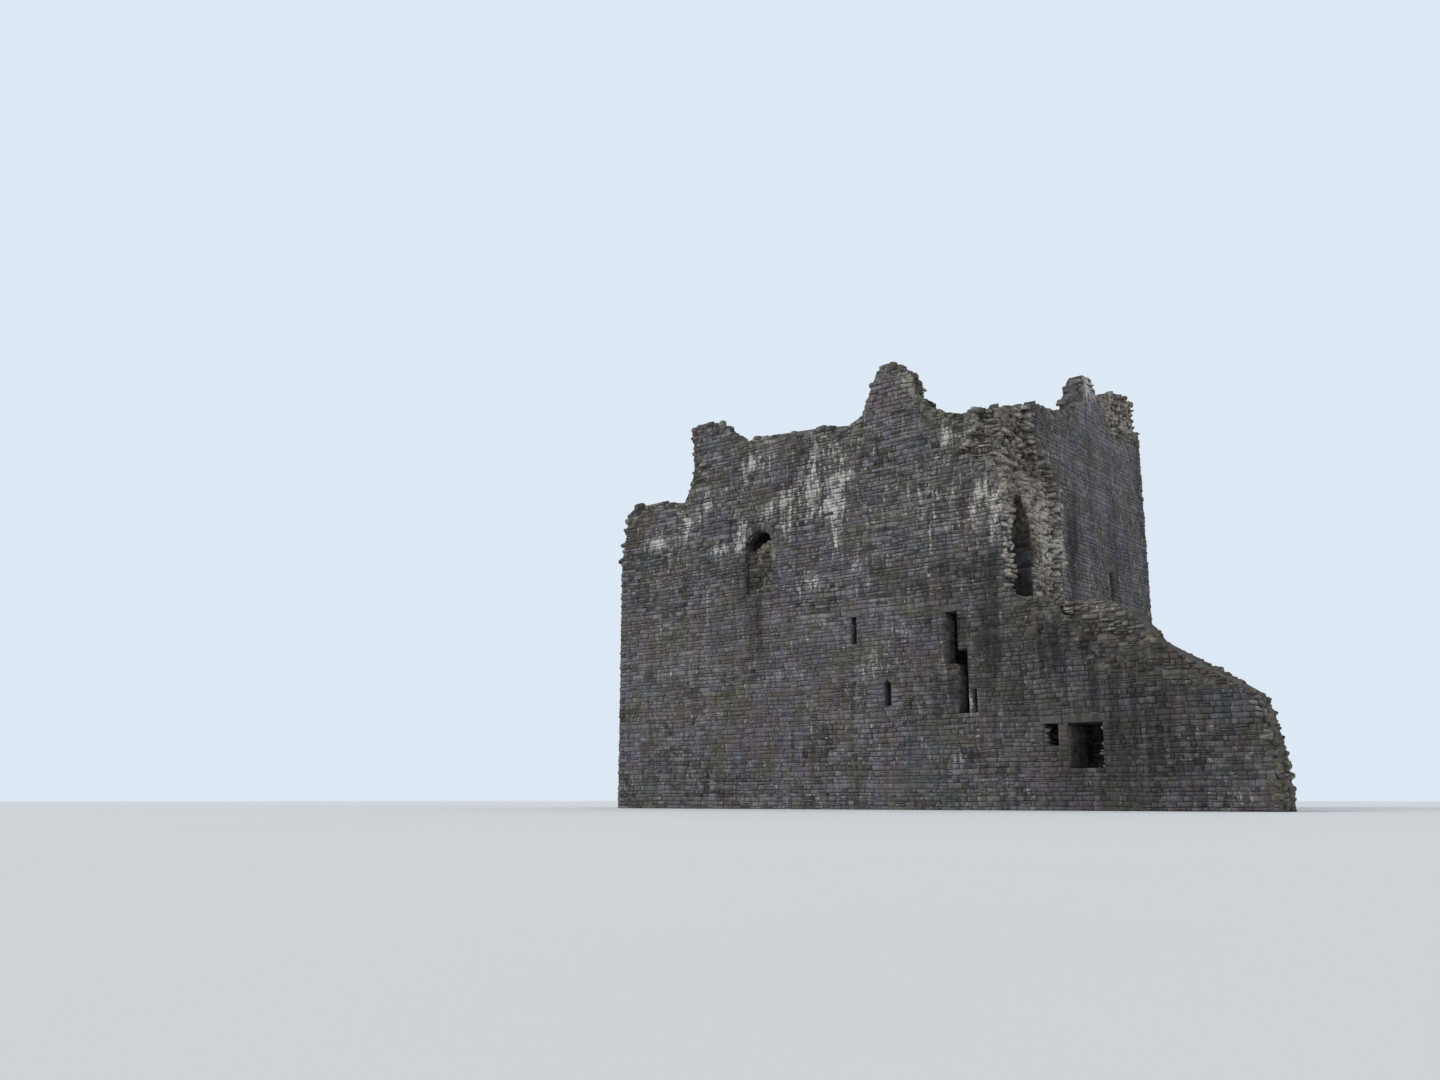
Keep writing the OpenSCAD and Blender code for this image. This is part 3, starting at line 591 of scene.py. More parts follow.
LIME_END = [
    (3.7, 7.4, 0.25, 0.9, 1.1), (4.0, 9.0, 0.3, 0.4, 0.7), (2.5, 8.1, 0.6, 0.3, 1.0),
    (0.5, 8.9, 0.5, 0.35, 0.7), (1.2, 8.3, 0.4, 0.3, 0.9), (3.0, 6.9, 0.35, 0.25, 1.2),
    # The mark at (2.9, 7.3) whitens the torn corner's jamb: lime, and painted light where the end gets
    # little of the key light
    (0.3, 6.8, 0.3, 1.0, 0.7), (10.4, 12.6, 0.7, 0.3, 0.7), (2.9, 7.3, 0.7, 1.1, 0.9),
    (6.6, 13.5, 1.1, 0.8, 1.1), (9.8, 12.9, 1.0, 0.3, 0.5),
]
DAMP_END = [
    (4.7, 7.4, 0.55, 2.4, 1.0), (8.0, 7.4, 0.4, 2.2, 0.7), (10.9, 8.5, 0.4, 3.0, 0.5),
    (6.3, 9.0, 0.3, 2.0, 0.4), (9.3, 7.0, 0.3, 2.4, 0.3), (1.3, 10.6, 2.2, 1.2, 0.38),
    (2.4, 9.6, 0.6, 0.35, 0.8), (1.0, 7.9, 0.5, 0.3, 0.5),
]
# Pale core of the robbed corner, with painted light and painted highlights where the end faces away from
# the key light; the wide last mark lightens the whole end
PALE_AND_LIT_END = [
    (6.4, 13.4, 1.5, 1.1, 2.4), (2.9, 6.6, 0.9, 1.9, 2.6), (2.0, 8.2, 1.0, 0.7, 2.0),
    (0.7, 8.7, 0.6, 0.4, 1.2), (9.5, 12.7, 1.4, 0.8, 0.6), (0.2, 7.9, 0.5, 1.1, 0.5),
    (6.0, 9.0, 6.0, 6.0, 0.45),
]
LIME_FORE = [(-2.6, 4.5, 0.9, 0.3, 0.6), (-2.4, 3.2, 0.6, 0.3, 0.5)]
# The wide mark at (-5.6, 1.6) darkens the forebuilding's core low down
DAMP_FORE = [(-1.2, 3.5, 0.8, 0.6, 0.4), (-5.6, 1.6, 1.6, 1.8, 0.6)]
PALE_FORE = [(-2.9, 4.3, 1.5, 0.7, 1.8)]


def scattered_marks(count, length, heights, strength, seed):
    """Marks strewn over a wall that the photograph doesn't show."""
    rng = draws(seed)
    return [
        (rng.uniform(0, length), rng.uniform(*heights), rng.uniform(0.15, 0.7),
         rng.uniform(0.3, 1.1), strength * rng.uniform(0.5, 1.0))
        for _ in range(count)
    ]


LIME_REAR = scattered_marks(16, EAST_X - WEST_X, (4.0, 12.0), 0.9, SEED + 2)
DAMP_REAR = scattered_marks(14, EAST_X - WEST_X, (1.0, 9.0), 0.9, SEED + 3)
LIME_WEST = scattered_marks(9, REAR_Y - FRONT_Y, (3.0, 9.5), 0.8, SEED + 4)
DAMP_WEST = scattered_marks(8, REAR_Y - FRONT_Y, (1.0, 7.0), 0.8, SEED + 5)


def strength_of(marks, along, up):
    total = np.zeros(len(along))
    for place, height, half_wide, half_high, strength in marks:
        far = ((along - place) / half_wide) ** 2 + ((up - height) / half_high) ** 2
        total += strength * np.exp(-far)
    return np.clip(total, 0, 1.3)


# Painted shade: a mark at full strength all over, which darkens the shaft's stones like the dark of its
# interior
SHAFT_SHADE_ALL_OVER = (0.0, 0.0, 1e6, 1e6, 0.5)

# For each wall the axis along it, 0 for X and 1 for Y, and its lime, damp and pale marks; in the shaft
# the damp marks are painted shade, and on the end some pale marks are painted light
MARKS = {
    "front": (0, LIME_FRONT, DAMP_FRONT, PALE_FRONT),
    "end": (1, LIME_END, DAMP_END, PALE_AND_LIT_END),
    "fore": (0, LIME_FORE, DAMP_FORE, PALE_FORE),
    "rear": (0, LIME_REAR, DAMP_REAR, []),
    "west": (1, LIME_WEST, DAMP_WEST, []),
    "hall": (0, LIME_REAR, DAMP_REAR, []),
    # The shaft's stones are darkened all over: painted shade, with some damp
    "shaft": (0, [], [SHAFT_SHADE_ALL_OVER], []),
    "none": (0, [], [], []),
}


def marks_at(wall, points):
    """How strong a wall's lime, damp and pale marks are at each point; the damp includes the shaft's
    painted shade, and the pale the end's painted light.
    """
    axis, *marks = MARKS[wall]
    along = EAST_X - points[:, 0] if axis == 0 else points[:, 1] - FRONT_Y
    up = points[:, 2] - GROUND_Z
    return {key: strength_of(found, along, up) for key, found in zip(("lime", "damp", "pale"), marks)}


# Materials

def srgb(r, g, b):
    """A colour written as 8-bit values, as Blender's linear one."""
    def linear(v):
        v /= 255
        return v / 12.92 if v <= 0.04045 else ((v + 0.055) / 1.055) ** 2.4
    return (linear(r), linear(g), linear(b), 1.0)


LIME = srgb(204, 202, 194)
MOSS = srgb(72, 78, 52)
SOIL = srgb(72, 66, 57)
# Colour of damp stone, which also paints the shade inside the shaft
DAMP_AND_SHADE_STONE = srgb(36, 37, 37)
OLIVE, VIOLET = srgb(92, 92, 68), srgb(86, 78, 104)
PINK, TEAL = srgb(108, 86, 86), srgb(66, 84, 86)
RUSSET, BROWN = srgb(114, 86, 76), srgb(84, 70, 62)
RUBBLE_STAINS = [(0.72, OLIVE, 0.35), (0.9, BROWN, 0.45), (3.7, RUSSET, 0.4), (5.3, VIOLET, 0.3)]
STAINS = [
    (0.61, VIOLET, 0.4), (0.83, PINK, 0.4), (0.97, TEAL, 0.4), (0.72, OLIVE, 0.45),
    (6.1, PINK, 0.35), (5.3, VIOLET, 0.25), (4.7, OLIVE, 0.45),
]


# Spans of the summed noise from a stone's dark colour to its light one
WIDE, NARROW, SOFT = (2.68, 3.8), (2.85, 3.65), (2.1, 4.2)

# Kinds of stone: dark, light, warm, cool and joint's colour, share of moss, span and stains
STONES = {
    "facing_stone": ((39, 38, 41), (135, 133, 138), (110, 98, 82), (74, 82, 88), (104, 103, 104),
                     0.7, WIDE, STAINS),
    "end_stone": ((37, 36, 40), (150, 147, 152), (98, 90, 84), (78, 83, 88), (90, 88, 92),
                  0.7, SOFT, STAINS),
    "dressed_stone": ((38, 37, 38), (116, 112, 114), (106, 96, 88), (80, 84, 86), (88, 86, 86),
                      0.6, WIDE, STAINS),
    "rubble_stone": ((40, 36, 35), (200, 190, 178), (124, 102, 92), (88, 92, 84), (80, 76, 72),
                     0.5, NARROW, RUBBLE_STAINS),
    "blocking_stone": ((46, 43, 39), (134, 127, 112), (94, 78, 66), (62, 70, 52), (60, 57, 50),
                       0.5, WIDE, RUBBLE_STAINS),
    "top_stone": ((46, 45, 43), (158, 156, 146), (108, 92, 76), (82, 88, 76), (88, 86, 80),
                  0.9, WIDE, STAINS),
    "earthy_stone": ((48, 46, 44), (138, 133, 123), (102, 88, 76), (78, 84, 68), (74, 71, 65),
                     1.0, SOFT, RUBBLE_STAINS),
}

# Noises in a stone's tone: scale, detail and weight; and in the lime wash: scale and weight
TONE_NOISES = ((26.0, 3.0, 0.9), (9.0, 5.0, 1.1), (2.2, 3.0, 1.1), (0.6, 3.0, 1.1))
WASH_NOISES = ((15.0, 0.25), (3.1, 0.2))

# How much finer than its scale a noise is along X, Y and Z
RUNS = (5.0, 5.0, 0.35)
STREAKS = (8.0, 8.0, 1.7)
DRIPS = (4.0, 4.0, 0.35)
FLECKS = (1.0, 1.0, 1.6)

ROUGHNESS = 0.92
SPECULAR = 0.25


def add_node(tree, kind, inputs, **settings):
    """A node whose inputs are values or other nodes' sockets."""
    made = tree.nodes.new("ShaderNode" + kind)
    for key, value in settings.items():
        setattr(made, key, value)
    for key, value in inputs.items():
        if isinstance(value, bpy.types.NodeSocket):
            tree.links.new(value, made.inputs[key])
        else:
            made.inputs[key].default_value = value
    return made


class Shader:
    """A material and its nodes."""

    def __init__(self, name):
        self.material = bpy.data.materials.new(name)
        self.material.use_nodes = True
        self.material.node_tree.nodes.clear()
        self.position = self.node("TexCoord", {}).outputs["Object"]

    def node(self, kind, inputs, **settings):
        return add_node(self.material.node_tree, kind, inputs, **settings)

    def math(self, operation, a, b):
        return self.node("Math", {0: a, 1: b}, operation=operation).outputs[0]

    def times(self, a, b):
        return self.math("MULTIPLY", a, b)

    def plus(self, value, other, weight):
        """A value and another one by its weight."""
        return self.math("ADD", value, self.times(other, weight))

    def mix(self, share, a, b):
        """A colour between two; Blender's node has them as its inputs 6 and 7."""
        return self.node("Mix", {0: share, 6: a, 7: b}, data_type="RGBA").outputs[2]

    def over(self, colour, other, mask, share):
        """A colour with a share of another one over it where the mask is 1."""
        return self.mix(self.times(mask, share), colour, other)

    def noise(self, scale, detail=4.0, stretch=(1.0, 1.0, 1.0)):
        where = self.node("VectorMath", {0: self.position, 1: stretch}, operation="MULTIPLY")
        inputs = {"Vector": where.outputs[0], "Scale": scale, "Detail": detail}
        return self.node("TexNoise", inputs).outputs[0]

    def between(self, value, low, high):
        """0 below low, 1 above high and smooth between."""
        made = self.node("MapRange", {0: value, 1: low, 2: high},
                         interpolation_type="SMOOTHSTEP", clamp=True)
        return made.outputs[0]

    def attribute(self, name):
        return self.node("Attribute", {}, attribute_name=name).outputs["Fac"]

    def upward(self, low, high):
        """0 on an upright face and 1 on a level one."""
        normal = self.node("NewGeometry", {}).outputs["Normal"]
        return self.between(self.node("SeparateXYZ", {0: normal}).outputs[2], low, high)

    def finish(self, colour, height, depth):
        bump = self.node("Bump", {"Height": height, "Strength": 1.0, "Distance": depth})
        shader = self.node("BsdfPrincipled", {
            "Base Color": colour, "Roughness": ROUGHNESS, "Specular IOR Level": SPECULAR,
            "Normal": bump.outputs[0],
        })
        self.node("OutputMaterial", {"Surface": shader.outputs[0]})
        return self.material


def stone_material(name, dark, light, warm, cool, joint, moss_share, span, stains):
    """Weathered stone: each stone has its own tone, with lime, damp and moss over them. Damp also paints
    shade in the shaft, and pale marks paint light on the end's torn corner.
    """
    dark, light, warm, cool, joint = (srgb(*colour) for colour in (dark, light, warm, cool, joint))
    s = Shader(name)
    value = s.times(s.attribute("tone"), 1.1)
    for scale, detail, weight in TONE_NOISES:
        value = s.plus(value, s.noise(scale, detail), weight)
    value = s.plus(value, s.noise(1.0, 4.0, RUNS), 1.3)
    # Pale marks lighten the tone: pale clean stone, and painted light on the end's torn corner
    value = s.plus(value, s.attribute("pale"), 0.5)
    colour = s.mix(s.between(value, *span), dark, light)
    hue = s.attribute("hue")
    colour = s.over(colour, warm, s.between(hue, 0.6, 1.0), 0.25)
    colour = s.over(colour, cool, s.between(hue, 0.4, 0.0), 0.25)
    for scale, stain, share in stains:
        colour = s.over(colour, stain, s.between(s.noise(scale), 0.5, 0.62), share)
    joint = s.mix(s.between(s.noise(1.3), 0.42, 0.6), joint, dark)
    colour = s.over(colour, joint, s.between(s.attribute("rim"), 0.35, 0.6), 0.45)
    wash = s.times(s.noise(1.0, 5.0, STREAKS), 0.62)
    for scale, weight in WASH_NOISES:
        wash = s.plus(wash, s.noise(scale), weight)
    wash = s.plus(wash, s.attribute("lime"), 0.155)
    wash = s.plus(wash, s.between(s.attribute("rise"), 0.55, 1.0), 0.03)
    wash = s.plus(wash, s.between(s.noise(10.0, 2.0, FLECKS), 0.6, 0.7), 0.09)
    colour = s.over(colour, LIME, s.between(wash, 0.61, 0.78), 0.9)
    # Damp darkens the stone in streaks; in the shaft this is painted shade
    drip = s.between(s.noise(1.0, 4.0, DRIPS), 0.35, 0.6)
    damp = s.times(s.attribute("damp"), s.math("ADD", s.times(drip, 0.5), 0.4))
    colour = s.mix(s.math("MINIMUM", damp, 0.85), colour, DAMP_AND_SHADE_STONE)
    upward = s.upward(0.35, 0.85)
    colour = s.over(colour, SOIL, upward, 0.6)
    moss = s.times(upward, s.between(s.noise(2.5), 0.35, 0.6))
    colour = s.over(colour, MOSS, moss, moss_share)
    return s.finish(colour, s.plus(s.noise(24.0, 8.0), s.noise(7.0, 3.0), 1.2), 0.02)


def mortar_material(name, dark, light):
    """Old mortar and rubble behind the stones."""
    s = Shader(name)
    value = s.plus(s.noise(5.0, 6.0), s.noise(0.7, 3.0), 0.6)
    colour = s.mix(s.between(value, 0.6, 1.05), srgb(*dark), srgb(*light))
    return s.finish(colour, s.plus(s.noise(9.0, 8.0), s.noise(40.0, 3.0), 0.4), 0.04)


stone = {name: stone_material(name, *looks) for name, looks in STONES.items()}
grey_mortar = mortar_material("grey_mortar", (54, 53, 53), (110, 108, 105))
pale_mortar = mortar_material("pale_mortar", (70, 67, 63), (146, 141, 132))

for name, node in nodes.items():
    node.data.materials.clear()
    node.data.materials.append(pale_mortar if name in BROKEN else grey_mortar)


# Corner stones, long and short in turn, that belong to both walls of a corner

planes = vertical_planes()
kinds = [kind_of(plane) for plane in planes]
outer = {kind: plane for plane, kind in zip(planes, kinds) if kind in OUTER}
reserved = {kind: {} for kind in outer}
CORNERS = [("west", "front"), ("front", "end"), ("end", "rear"), ("rear", "west")]
QUOIN_LONG = (0.42, 0.6)
QUOIN_SHORT = (0.24, 0.34)
QUOIN_PROUD = (0.018, 0.05)
QUOIN_GAP = 0.012
QUOIN_WORN = (0.07, 0.02)
BESIDE = 0.1


def corner_stones(rng):
    """Centre, axes and half sizes of the corner stones, whose place both walls then keep free."""
    for turn, (left_kind, right_kind) in enumerate(CORNERS):
        left, right = outer[left_kind], outer[right_kind]
        corner = left.normal * left.offset + right.normal * right.offset
        left_u, right_u = float(corner @ left.along), float(corner @ right.along)
        for k, (bottom, top) in enumerate(pairwise(courses)):
            sizes = (rng.uniform(*QUOIN_LONG), rng.uniform(*QUOIN_SHORT))
            proud = rng.uniform(*QUOIN_PROUD)
            on_left, on_right = sizes if (k + turn) % 2 else sizes[::-1]
            heights = bottom + (top - bottom) * np.array([0.15, 0.5, 0.85])
            if not (left.bare(np.full(3, left_u - BESIDE), heights).all()
                    and right.bare(np.full(3, right_u + BESIDE), heights).all()):
                continue
            reserved[left_kind][(k, "right")] = on_left
            reserved[right_kind][(k, "left")] = on_right
            centre = corner + right.normal * (proud - on_left) / 2 + left.normal * (proud - on_right) / 2
            centre[2] = (bottom + top) / 2
            half = [(on_right + proud - QUOIN_GAP) / 2, (on_left + proud - QUOIN_GAP) / 2,
                    (top - bottom - QUOIN_GAP) / 2]
            yield centre, np.array([left.normal, right.normal, [0.0, 0.0, 1.0]]), half


quoin_rng = draws(SEED + 6)
quoins = list(corner_stones(quoin_rng))


# Coursed stones and rubble on every vertical face

# Where worn stones start, from the floor, how far under the broken top they reach, and their grid
WORN_FROM = 3.4
WORN_REACH = 0.45
FORE_WORN_FROM = -3.2
FORE_WORN_REACH = 1.2
WORN_CELL = 0.09

# How near its corner a stretch meets the corner stone, the least length of a stretch, the least height
# of a course that is laid as two thin stones, and how deep stones go into the wall
CORNER_NEAR = 0.06
LEAST_STRETCH = 0.07
LEAST_SPLIT = 0.1
STONE_DEEP = 0.06

# Height and turn of the wavy line along the floor under which the front is laid smoother
LOWER_WAVE = 0.4
LOWER_TURN = 0.9


class WornZone:
    """Where a wall's stones have lost their squared faces, close under its broken top: a grid of
    cells that are true where no wall is left above them or beside them, within the reach."""

    def __init__(self, plane, left, right, bottom, reach):
        self.u0, self.z0 = left, bottom
        across = int((right - left) / WORN_CELL) + 1
        up = max(int((plane.z1 - bottom) / WORN_CELL), 0) + 1
        u = np.tile(left + (np.arange(across) + 0.5) * WORN_CELL, up)
        z = np.repeat(bottom + (np.arange(up) + 0.5) * WORN_CELL, across)
        cover = plane.covered(u, z).reshape(up, across)
        reach = round(reach / WORN_CELL)
        raised = np.pad(cover, ((0, reach), (0, 0)))
        beside = np.pad(raised[reach // 3:][:up], ((0, 0), (reach, reach)), constant_values=True)
        self.worn = ~(raised[reach:] & beside[:, :across] & beside[:, 2 * reach:])

    def holds(self, u, z):
        up, across = self.worn.shape
        row, column = (z - self.z0) // WORN_CELL, (u - self.u0) // WORN_CELL
        return 0 <= row < up and 0 <= column < across and self.worn[int(row), int(column)]


def worn_zones(plane, kind):
    """The worn parts of an outer wall, and on the front that of the forebuilding too."""
    if kind not in outer:
        return []
    right = EAST_X if kind == "front" else plane.u1
    zones = [WornZone(plane, plane.u0, right, FLOOR_Z + WORN_FROM, WORN_REACH)]
    if kind == "front":
        zones.append(WornZone(plane, EAST_X, plane.u1, FLOOR_Z + FORE_WORN_FROM, FORE_WORN_REACH))
    return zones


def piece_at(plane, kind, piece, u, z):
    """The front and the torn faces are split at the forebuilding, and the hall at its floor."""
    beyond = plane.place(u, z, 0.0)[0] > EAST_X - 0.05
    if kind == "front" and beyond:
        return "fore_facing"
    if kind == "scar" and beyond:
        return "fore_core_rubble"
    if kind == "hall":
        return "hall_lower_facing" if z < FLOOR_Z - 0.1 else "hall_upper_facing"
    return piece


def lay_walls():
    """Rows of stones for each piece: plane, style, place, size and how far the face stands out."""
    pieces = {}
    for number, (plane, kind) in enumerate(zip(planes, kinds)):
        piece, style, step = KINDS[kind]
        rng = draws(SEED, number)
        zones = worn_zones(plane, kind)
        kept = reserved.get(kind, {})
        for course, left, right, bottom, top in runs_of(plane, style, step):
            if left - plane.u0 < CORNER_NEAR:
                left += kept.get((course, "left"), 0.0)
            if plane.u1 - right < CORNER_NEAR or kind == "front" and abs(right - EAST_X) < CORNER_NEAR:
                right -= kept.get((course, "right"), 0.0)
            if right - left < LEAST_STRETCH:
                continue
            u = left
            for size in lengths_for(right - left, style, rng):
                worn = any(zone.holds(u + size / 2, bottom) for zone in zones)
                laid = WORN if worn else style
                if laid is FACING and bottom < FLOOR_Z + LOWER_WAVE * math.sin(LOWER_TURN * u):
                    laid = LOWER
                beds = [bottom, top]
                if rng.random() < laid.thin and top - bottom > LEAST_SPLIT:
                    beds.insert(1, bottom + (top - bottom) * rng.uniform(0.35, 0.65))
                for low, high in pairwise(beds):
                    if rng.random() < laid.lost:
                        continue
                    slack = (high - low) * rng.uniform(0.0, laid.slack)
                    middle = (low + high) / 2 + slack * rng.uniform(-0.5, 0.5)
                    row = (u + size / 2, middle, size, high - low - slack, rng.uniform(*laid.proud))
                    name = piece_at(plane, kind, piece, u, bottom)
                    if worn:
                        name = "worn_fore" if name == "fore_facing" else "worn_" + kind
                    pieces.setdefault(name, []).append((plane, laid, row))
                u += size
    return pieces


def wall_points(rows, rng):
    """World points of the stones of one piece."""
    planes_of, styles, places = zip(*rows)
    u, z, wide, high, proud = np.array(places).T
    edge, rough, tilt = np.array([(style.edge, style.rough, style.tilt) for style in styles]).T
    deep = np.full(len(rows), STONE_DEEP)
    across, up, out = block_points(wide, high, proud, deep, edge, rough, tilt, rng)
    offset = np.array([plane.offset for plane in planes_of])[:, None]
    return sum(
        distance[..., None] * np.array(ways)[:, None, :] for distance, ways in (
            (u[:, None] + across, [plane.along for plane in planes_of]),
            (offset + out, [plane.normal for plane in planes_of]),
            (z[:, None] + up, [(0.0, 0.0, 1.0)] * len(rows))))


# Stone and marks of each piece
FINISH = {
    **{"worn_" + wall: ("top_stone", wall) for wall in OUTER},
    **{wall + "_facing": ("facing_stone", wall) for wall in OUTER},
    "end_facing": ("end_stone", "end"),
    "worn_fore": ("earthy_stone", "front"),
    "fore_facing": ("facing_stone", "front"),
    "fore_rear_facing": ("facing_stone", "none"),
    "hall_lower_facing": ("facing_stone", "hall"),
    "hall_upper_facing": ("facing_stone", "hall"),
    "reveal_stones": ("facing_stone", "none"),
    "shaft_stones": ("facing_stone", "shaft"),
    "broken_leaf_rubble": ("top_stone", "none"),
    "robbed_corner_rubble": ("rubble_stone", "end"),
    "window_blocking_rubble": ("blocking_stone", "front"),
    "fore_core_rubble": ("earthy_stone", "fore"),
}
for number, (piece, rows) in enumerate(sorted(lay_walls().items())):
    rng = draws(SEED + 7, number)
    material, marks = FINISH[piece]
    points = wall_points(rows, rng)
    tones = rng.uniform(0, 1, (len(rows), 2))
    tones[:, 0] = 0.5 + (tones[:, 0] - 0.5) * [style.contrast for _, style, _ in rows]
    build(piece, points, BLOCK, tones, marks, material)

build_rocks("quoins", quoins, QUOIN_WORN, "none", "facing_stone", quoin_rng)


# Stones that stick out of the broken faces and hide their edges

TORN_KINDS = ("scar", "leaf")
TORN_DENSITY = 9.0
TORN_EXTRA = 0.7
SMALL_FACE = 0.02
STEEP = (-0.5, 0.35)
STEEP_DENSITY = 26.0
BROKEN_WORN = (0.25, 0.09)

# How a bedded rock turns and leans, how deep it lies, and its half sizes
BEDDED_TURN = 0.35
BEDDED_LEAN = 0.22
BEDDED_OUT = (-0.05, 0.02)
BEDDED_HALF = ((0.07, 0.2), (0.06, 0.13), (0.035, 0.085))


def spread(a, b, c, count, rng):
    """Random points of a triangle."""
    share = rng.random((count, 2))
    share = np.where(share.sum(1, keepdims=True) > 1, 1 - share, share)
    return a + share[:, :1] * (b - a) + share[:, 1:] * (c - a)


def bedded_rocks(spots, normal, rng):
    """Centre, axes and half sizes of a rock that lies in a broken face, for each spot."""
    flat = normal * [1, 1, 0] / np.linalg.norm(normal[:2])
    along = np.array([-flat[1], flat[0], 0.0])
    for spot in spots:
        turn, lean = rng.normal(0, BEDDED_TURN), rng.normal(0, BEDDED_LEAN)
        first = along * math.cos(turn) + flat * math.sin(turn)
        first = first * math.cos(lean) + np.array([0, 0, math.sin(lean)])
        second = np.cross([0.0, 0.0, 1.0], first)
        second /= np.linalg.norm(second)
        centre = spot + normal * rng.uniform(*BEDDED_OUT)
        half = [rng.uniform(*span) for span in BEDDED_HALF]
        yield centre, np.array([first, second, np.cross(first, second)]), half


def torn_rocks():
    """Rocks on the torn upright faces, where they meet open air."""
    rng = draws(SEED + 13)
    for plane, kind in zip(planes, kinds):
        if kind not in TORN_KINDS:
            continue
        for a, b, c in plane.flat:
            area = abs((b[0] - a[0]) * (c[1] - a[1]) - (b[1] - a[1]) * (c[0] - a[0])) / 2
            count = rng.poisson(area * TORN_DENSITY + TORN_EXTRA * min(area / SMALL_FACE, 1.0))
            spots = spread(a, b, c, count, rng)
            spots = spots[plane.bare(spots[:, 0], spots[:, 1])]
            spots = plane.place(spots[:, 0], spots[:, 1], 0.0)
            yield from bedded_rocks(spots[spots[:, 0] < EAST_X + 0.05], plane.normal, rng)


def steep_rocks():
    """Rocks on the walls' steep and overhanging breaks, which rays from above miss."""
    rng = draws(SEED + 15)
    for solid in solids:
        if solid.name in DRESSED | BROKEN:
            continue
        for corners, normal, area in solid.faces():
            if STEEP[0] < normal[2] < STEEP[1] and abs(normal[2]) > UPRIGHT:
                spots = spread(*corners, rng.poisson(area * STEEP_DENSITY), rng)
                yield from bedded_rocks(spots[open_air(spots + normal * IN_FRONT)], normal, rng)


for number, (piece, rocks, marks, material) in enumerate((
        ("torn_stones", torn_rocks(), "end", "rubble_stone"),
        ("steep_break_stones", steep_rocks(), "none", "top_stone"))):
    rng = draws(SEED + 14, number)
    build_rocks(piece, rocks, BROKEN_WORN, marks, material, rng)


# Loose and bedded stones on the broken tops

# Side of a cell of the grid of rays, most rays in a cell, the least that a face looks up and the least
# height at which it takes stones, and how near the floor's height counts as on it
CELL = 0.25
MOST_DRAWS = 8
LEAST_UP = 0.04
LEAST_HEIGHT = 0.1
ON_FLOOR = 0.01

# How many more rays a slope gets, and how many more the forebuilding does
SLOPE_RAYS = 1.4
FORE_RAYS = 1.5

# How level a stone lies, how it leans and turns, the share that lie across, and how deep it lies
LEVEL = 0.75
LOOSE_LEAN = 0.25
LOOSE_TURN = 0.9
LENGTHWISE = 0.6
LOOSE_OUT = -0.09

# Half sizes, each as the least and what is added at most, and a stone's size on the forebuilding
LOOSE_HALF = ((0.1, 0.12), (0.08, 0.08), (0.045, 0.05))
FORE_SIZE = 0.7

# Heaps of stones, and the flat paving of the ledge
HEAP_RISE = 0.06
LEAST_HEAP = -0.15
LEDGE_HALF_HIGH = 0.03
LEDGE_OUT = -0.012
LEDGE_WORN = (0.1, 0.09)


def top_rocks():
    """Spots on everything that the sky sees, found by rays from above: the point, the face's normal,
    the node's name and numbers drawn for its stone."""
    rng = draws(SEED + 8)
    names = [solid.name for solid in solids for _ in solid.triangles]
    shift = np.cumsum([0] + [len(solid.points) for solid in solids[:-1]])
    points = np.concatenate([solid.points for solid in solids]).tolist()
    triangles = np.concatenate([solid.triangles + s for solid, s in zip(solids, shift)]).tolist()
    tree = BVHTree.FromPolygons(points, triangles)
    low, high = np.array(cad_box[0]), np.array(cad_box[1])
    across, deep = (int(size / CELL) + 1 for size in (high - low)[:2])
    found = []
    for i, j, extra in product(range(across), range(deep), range(MOST_DRAWS)):
        draw = rng.random(10)
        start = Vector((low[0] + (i + draw[0]) * CELL, low[1] + (j + draw[1]) * CELL, high[2] + 1))
        hit, normal, index, _ = tree.ray_cast(start, Vector((0, 0, -1)))
        if hit is None or normal.z < LEAST_UP or hit.z < LEAST_HEIGHT:
            continue
        many = SLOPE_RAYS * (1 / normal.z - 1) + (FORE_RAYS if hit.z < FLOOR_Z - ON_FLOOR else 0.0)
        if extra <= many + (draw[2] - 0.5) * 0.5:
            found.append((hit, normal, names[index], draw[3:]))
    return found


def loose_rocks(found, on_ledge):
    """Centre, axes and half sizes of a stone for each spot."""
    for hit, normal, _, draw in found:
        up = Vector((0, 0, 1)) * LEVEL + normal * (1 - LEVEL)
        up += Vector(((draw[0] - 0.5) * LOOSE_LEAN, (draw[1] - 0.5) * LOOSE_LEAN, 0))
        yaw = (draw[2] - 0.5) * LOOSE_TURN + (math.pi / 2 if draw[3] > LENGTHWISE else 0.0)
        size = Vector([least + more * share for (least, more), share in zip(LOOSE_HALF, draw[4:])])
        heap = math.sin(2.9 * hit.x + 1.3 * hit.y) * math.sin(1.3 * hit.x - 2.1 * hit.y + 1.0)
        size *= FORE_SIZE if hit.z < FLOOR_Z - ON_FLOOR else 1.0
        rise = HEAP_RISE * max(heap, LEAST_HEAP)
        size.z += rise
        lift = 0.05 * draw[6] + LOOSE_OUT + rise
        if on_ledge:
            up = Vector((0, 0, 1))
            size.z = LEDGE_HALF_HIGH
            lift = LEDGE_OUT
        up.normalize()
        first = Vector((math.cos(yaw), math.sin(yaw), 0))
        first = (first - up * first.dot(up)).normalized()
        yield np.array(hit) + [0, 0, lift], np.array([first, up.cross(first), up]), np.array(size)


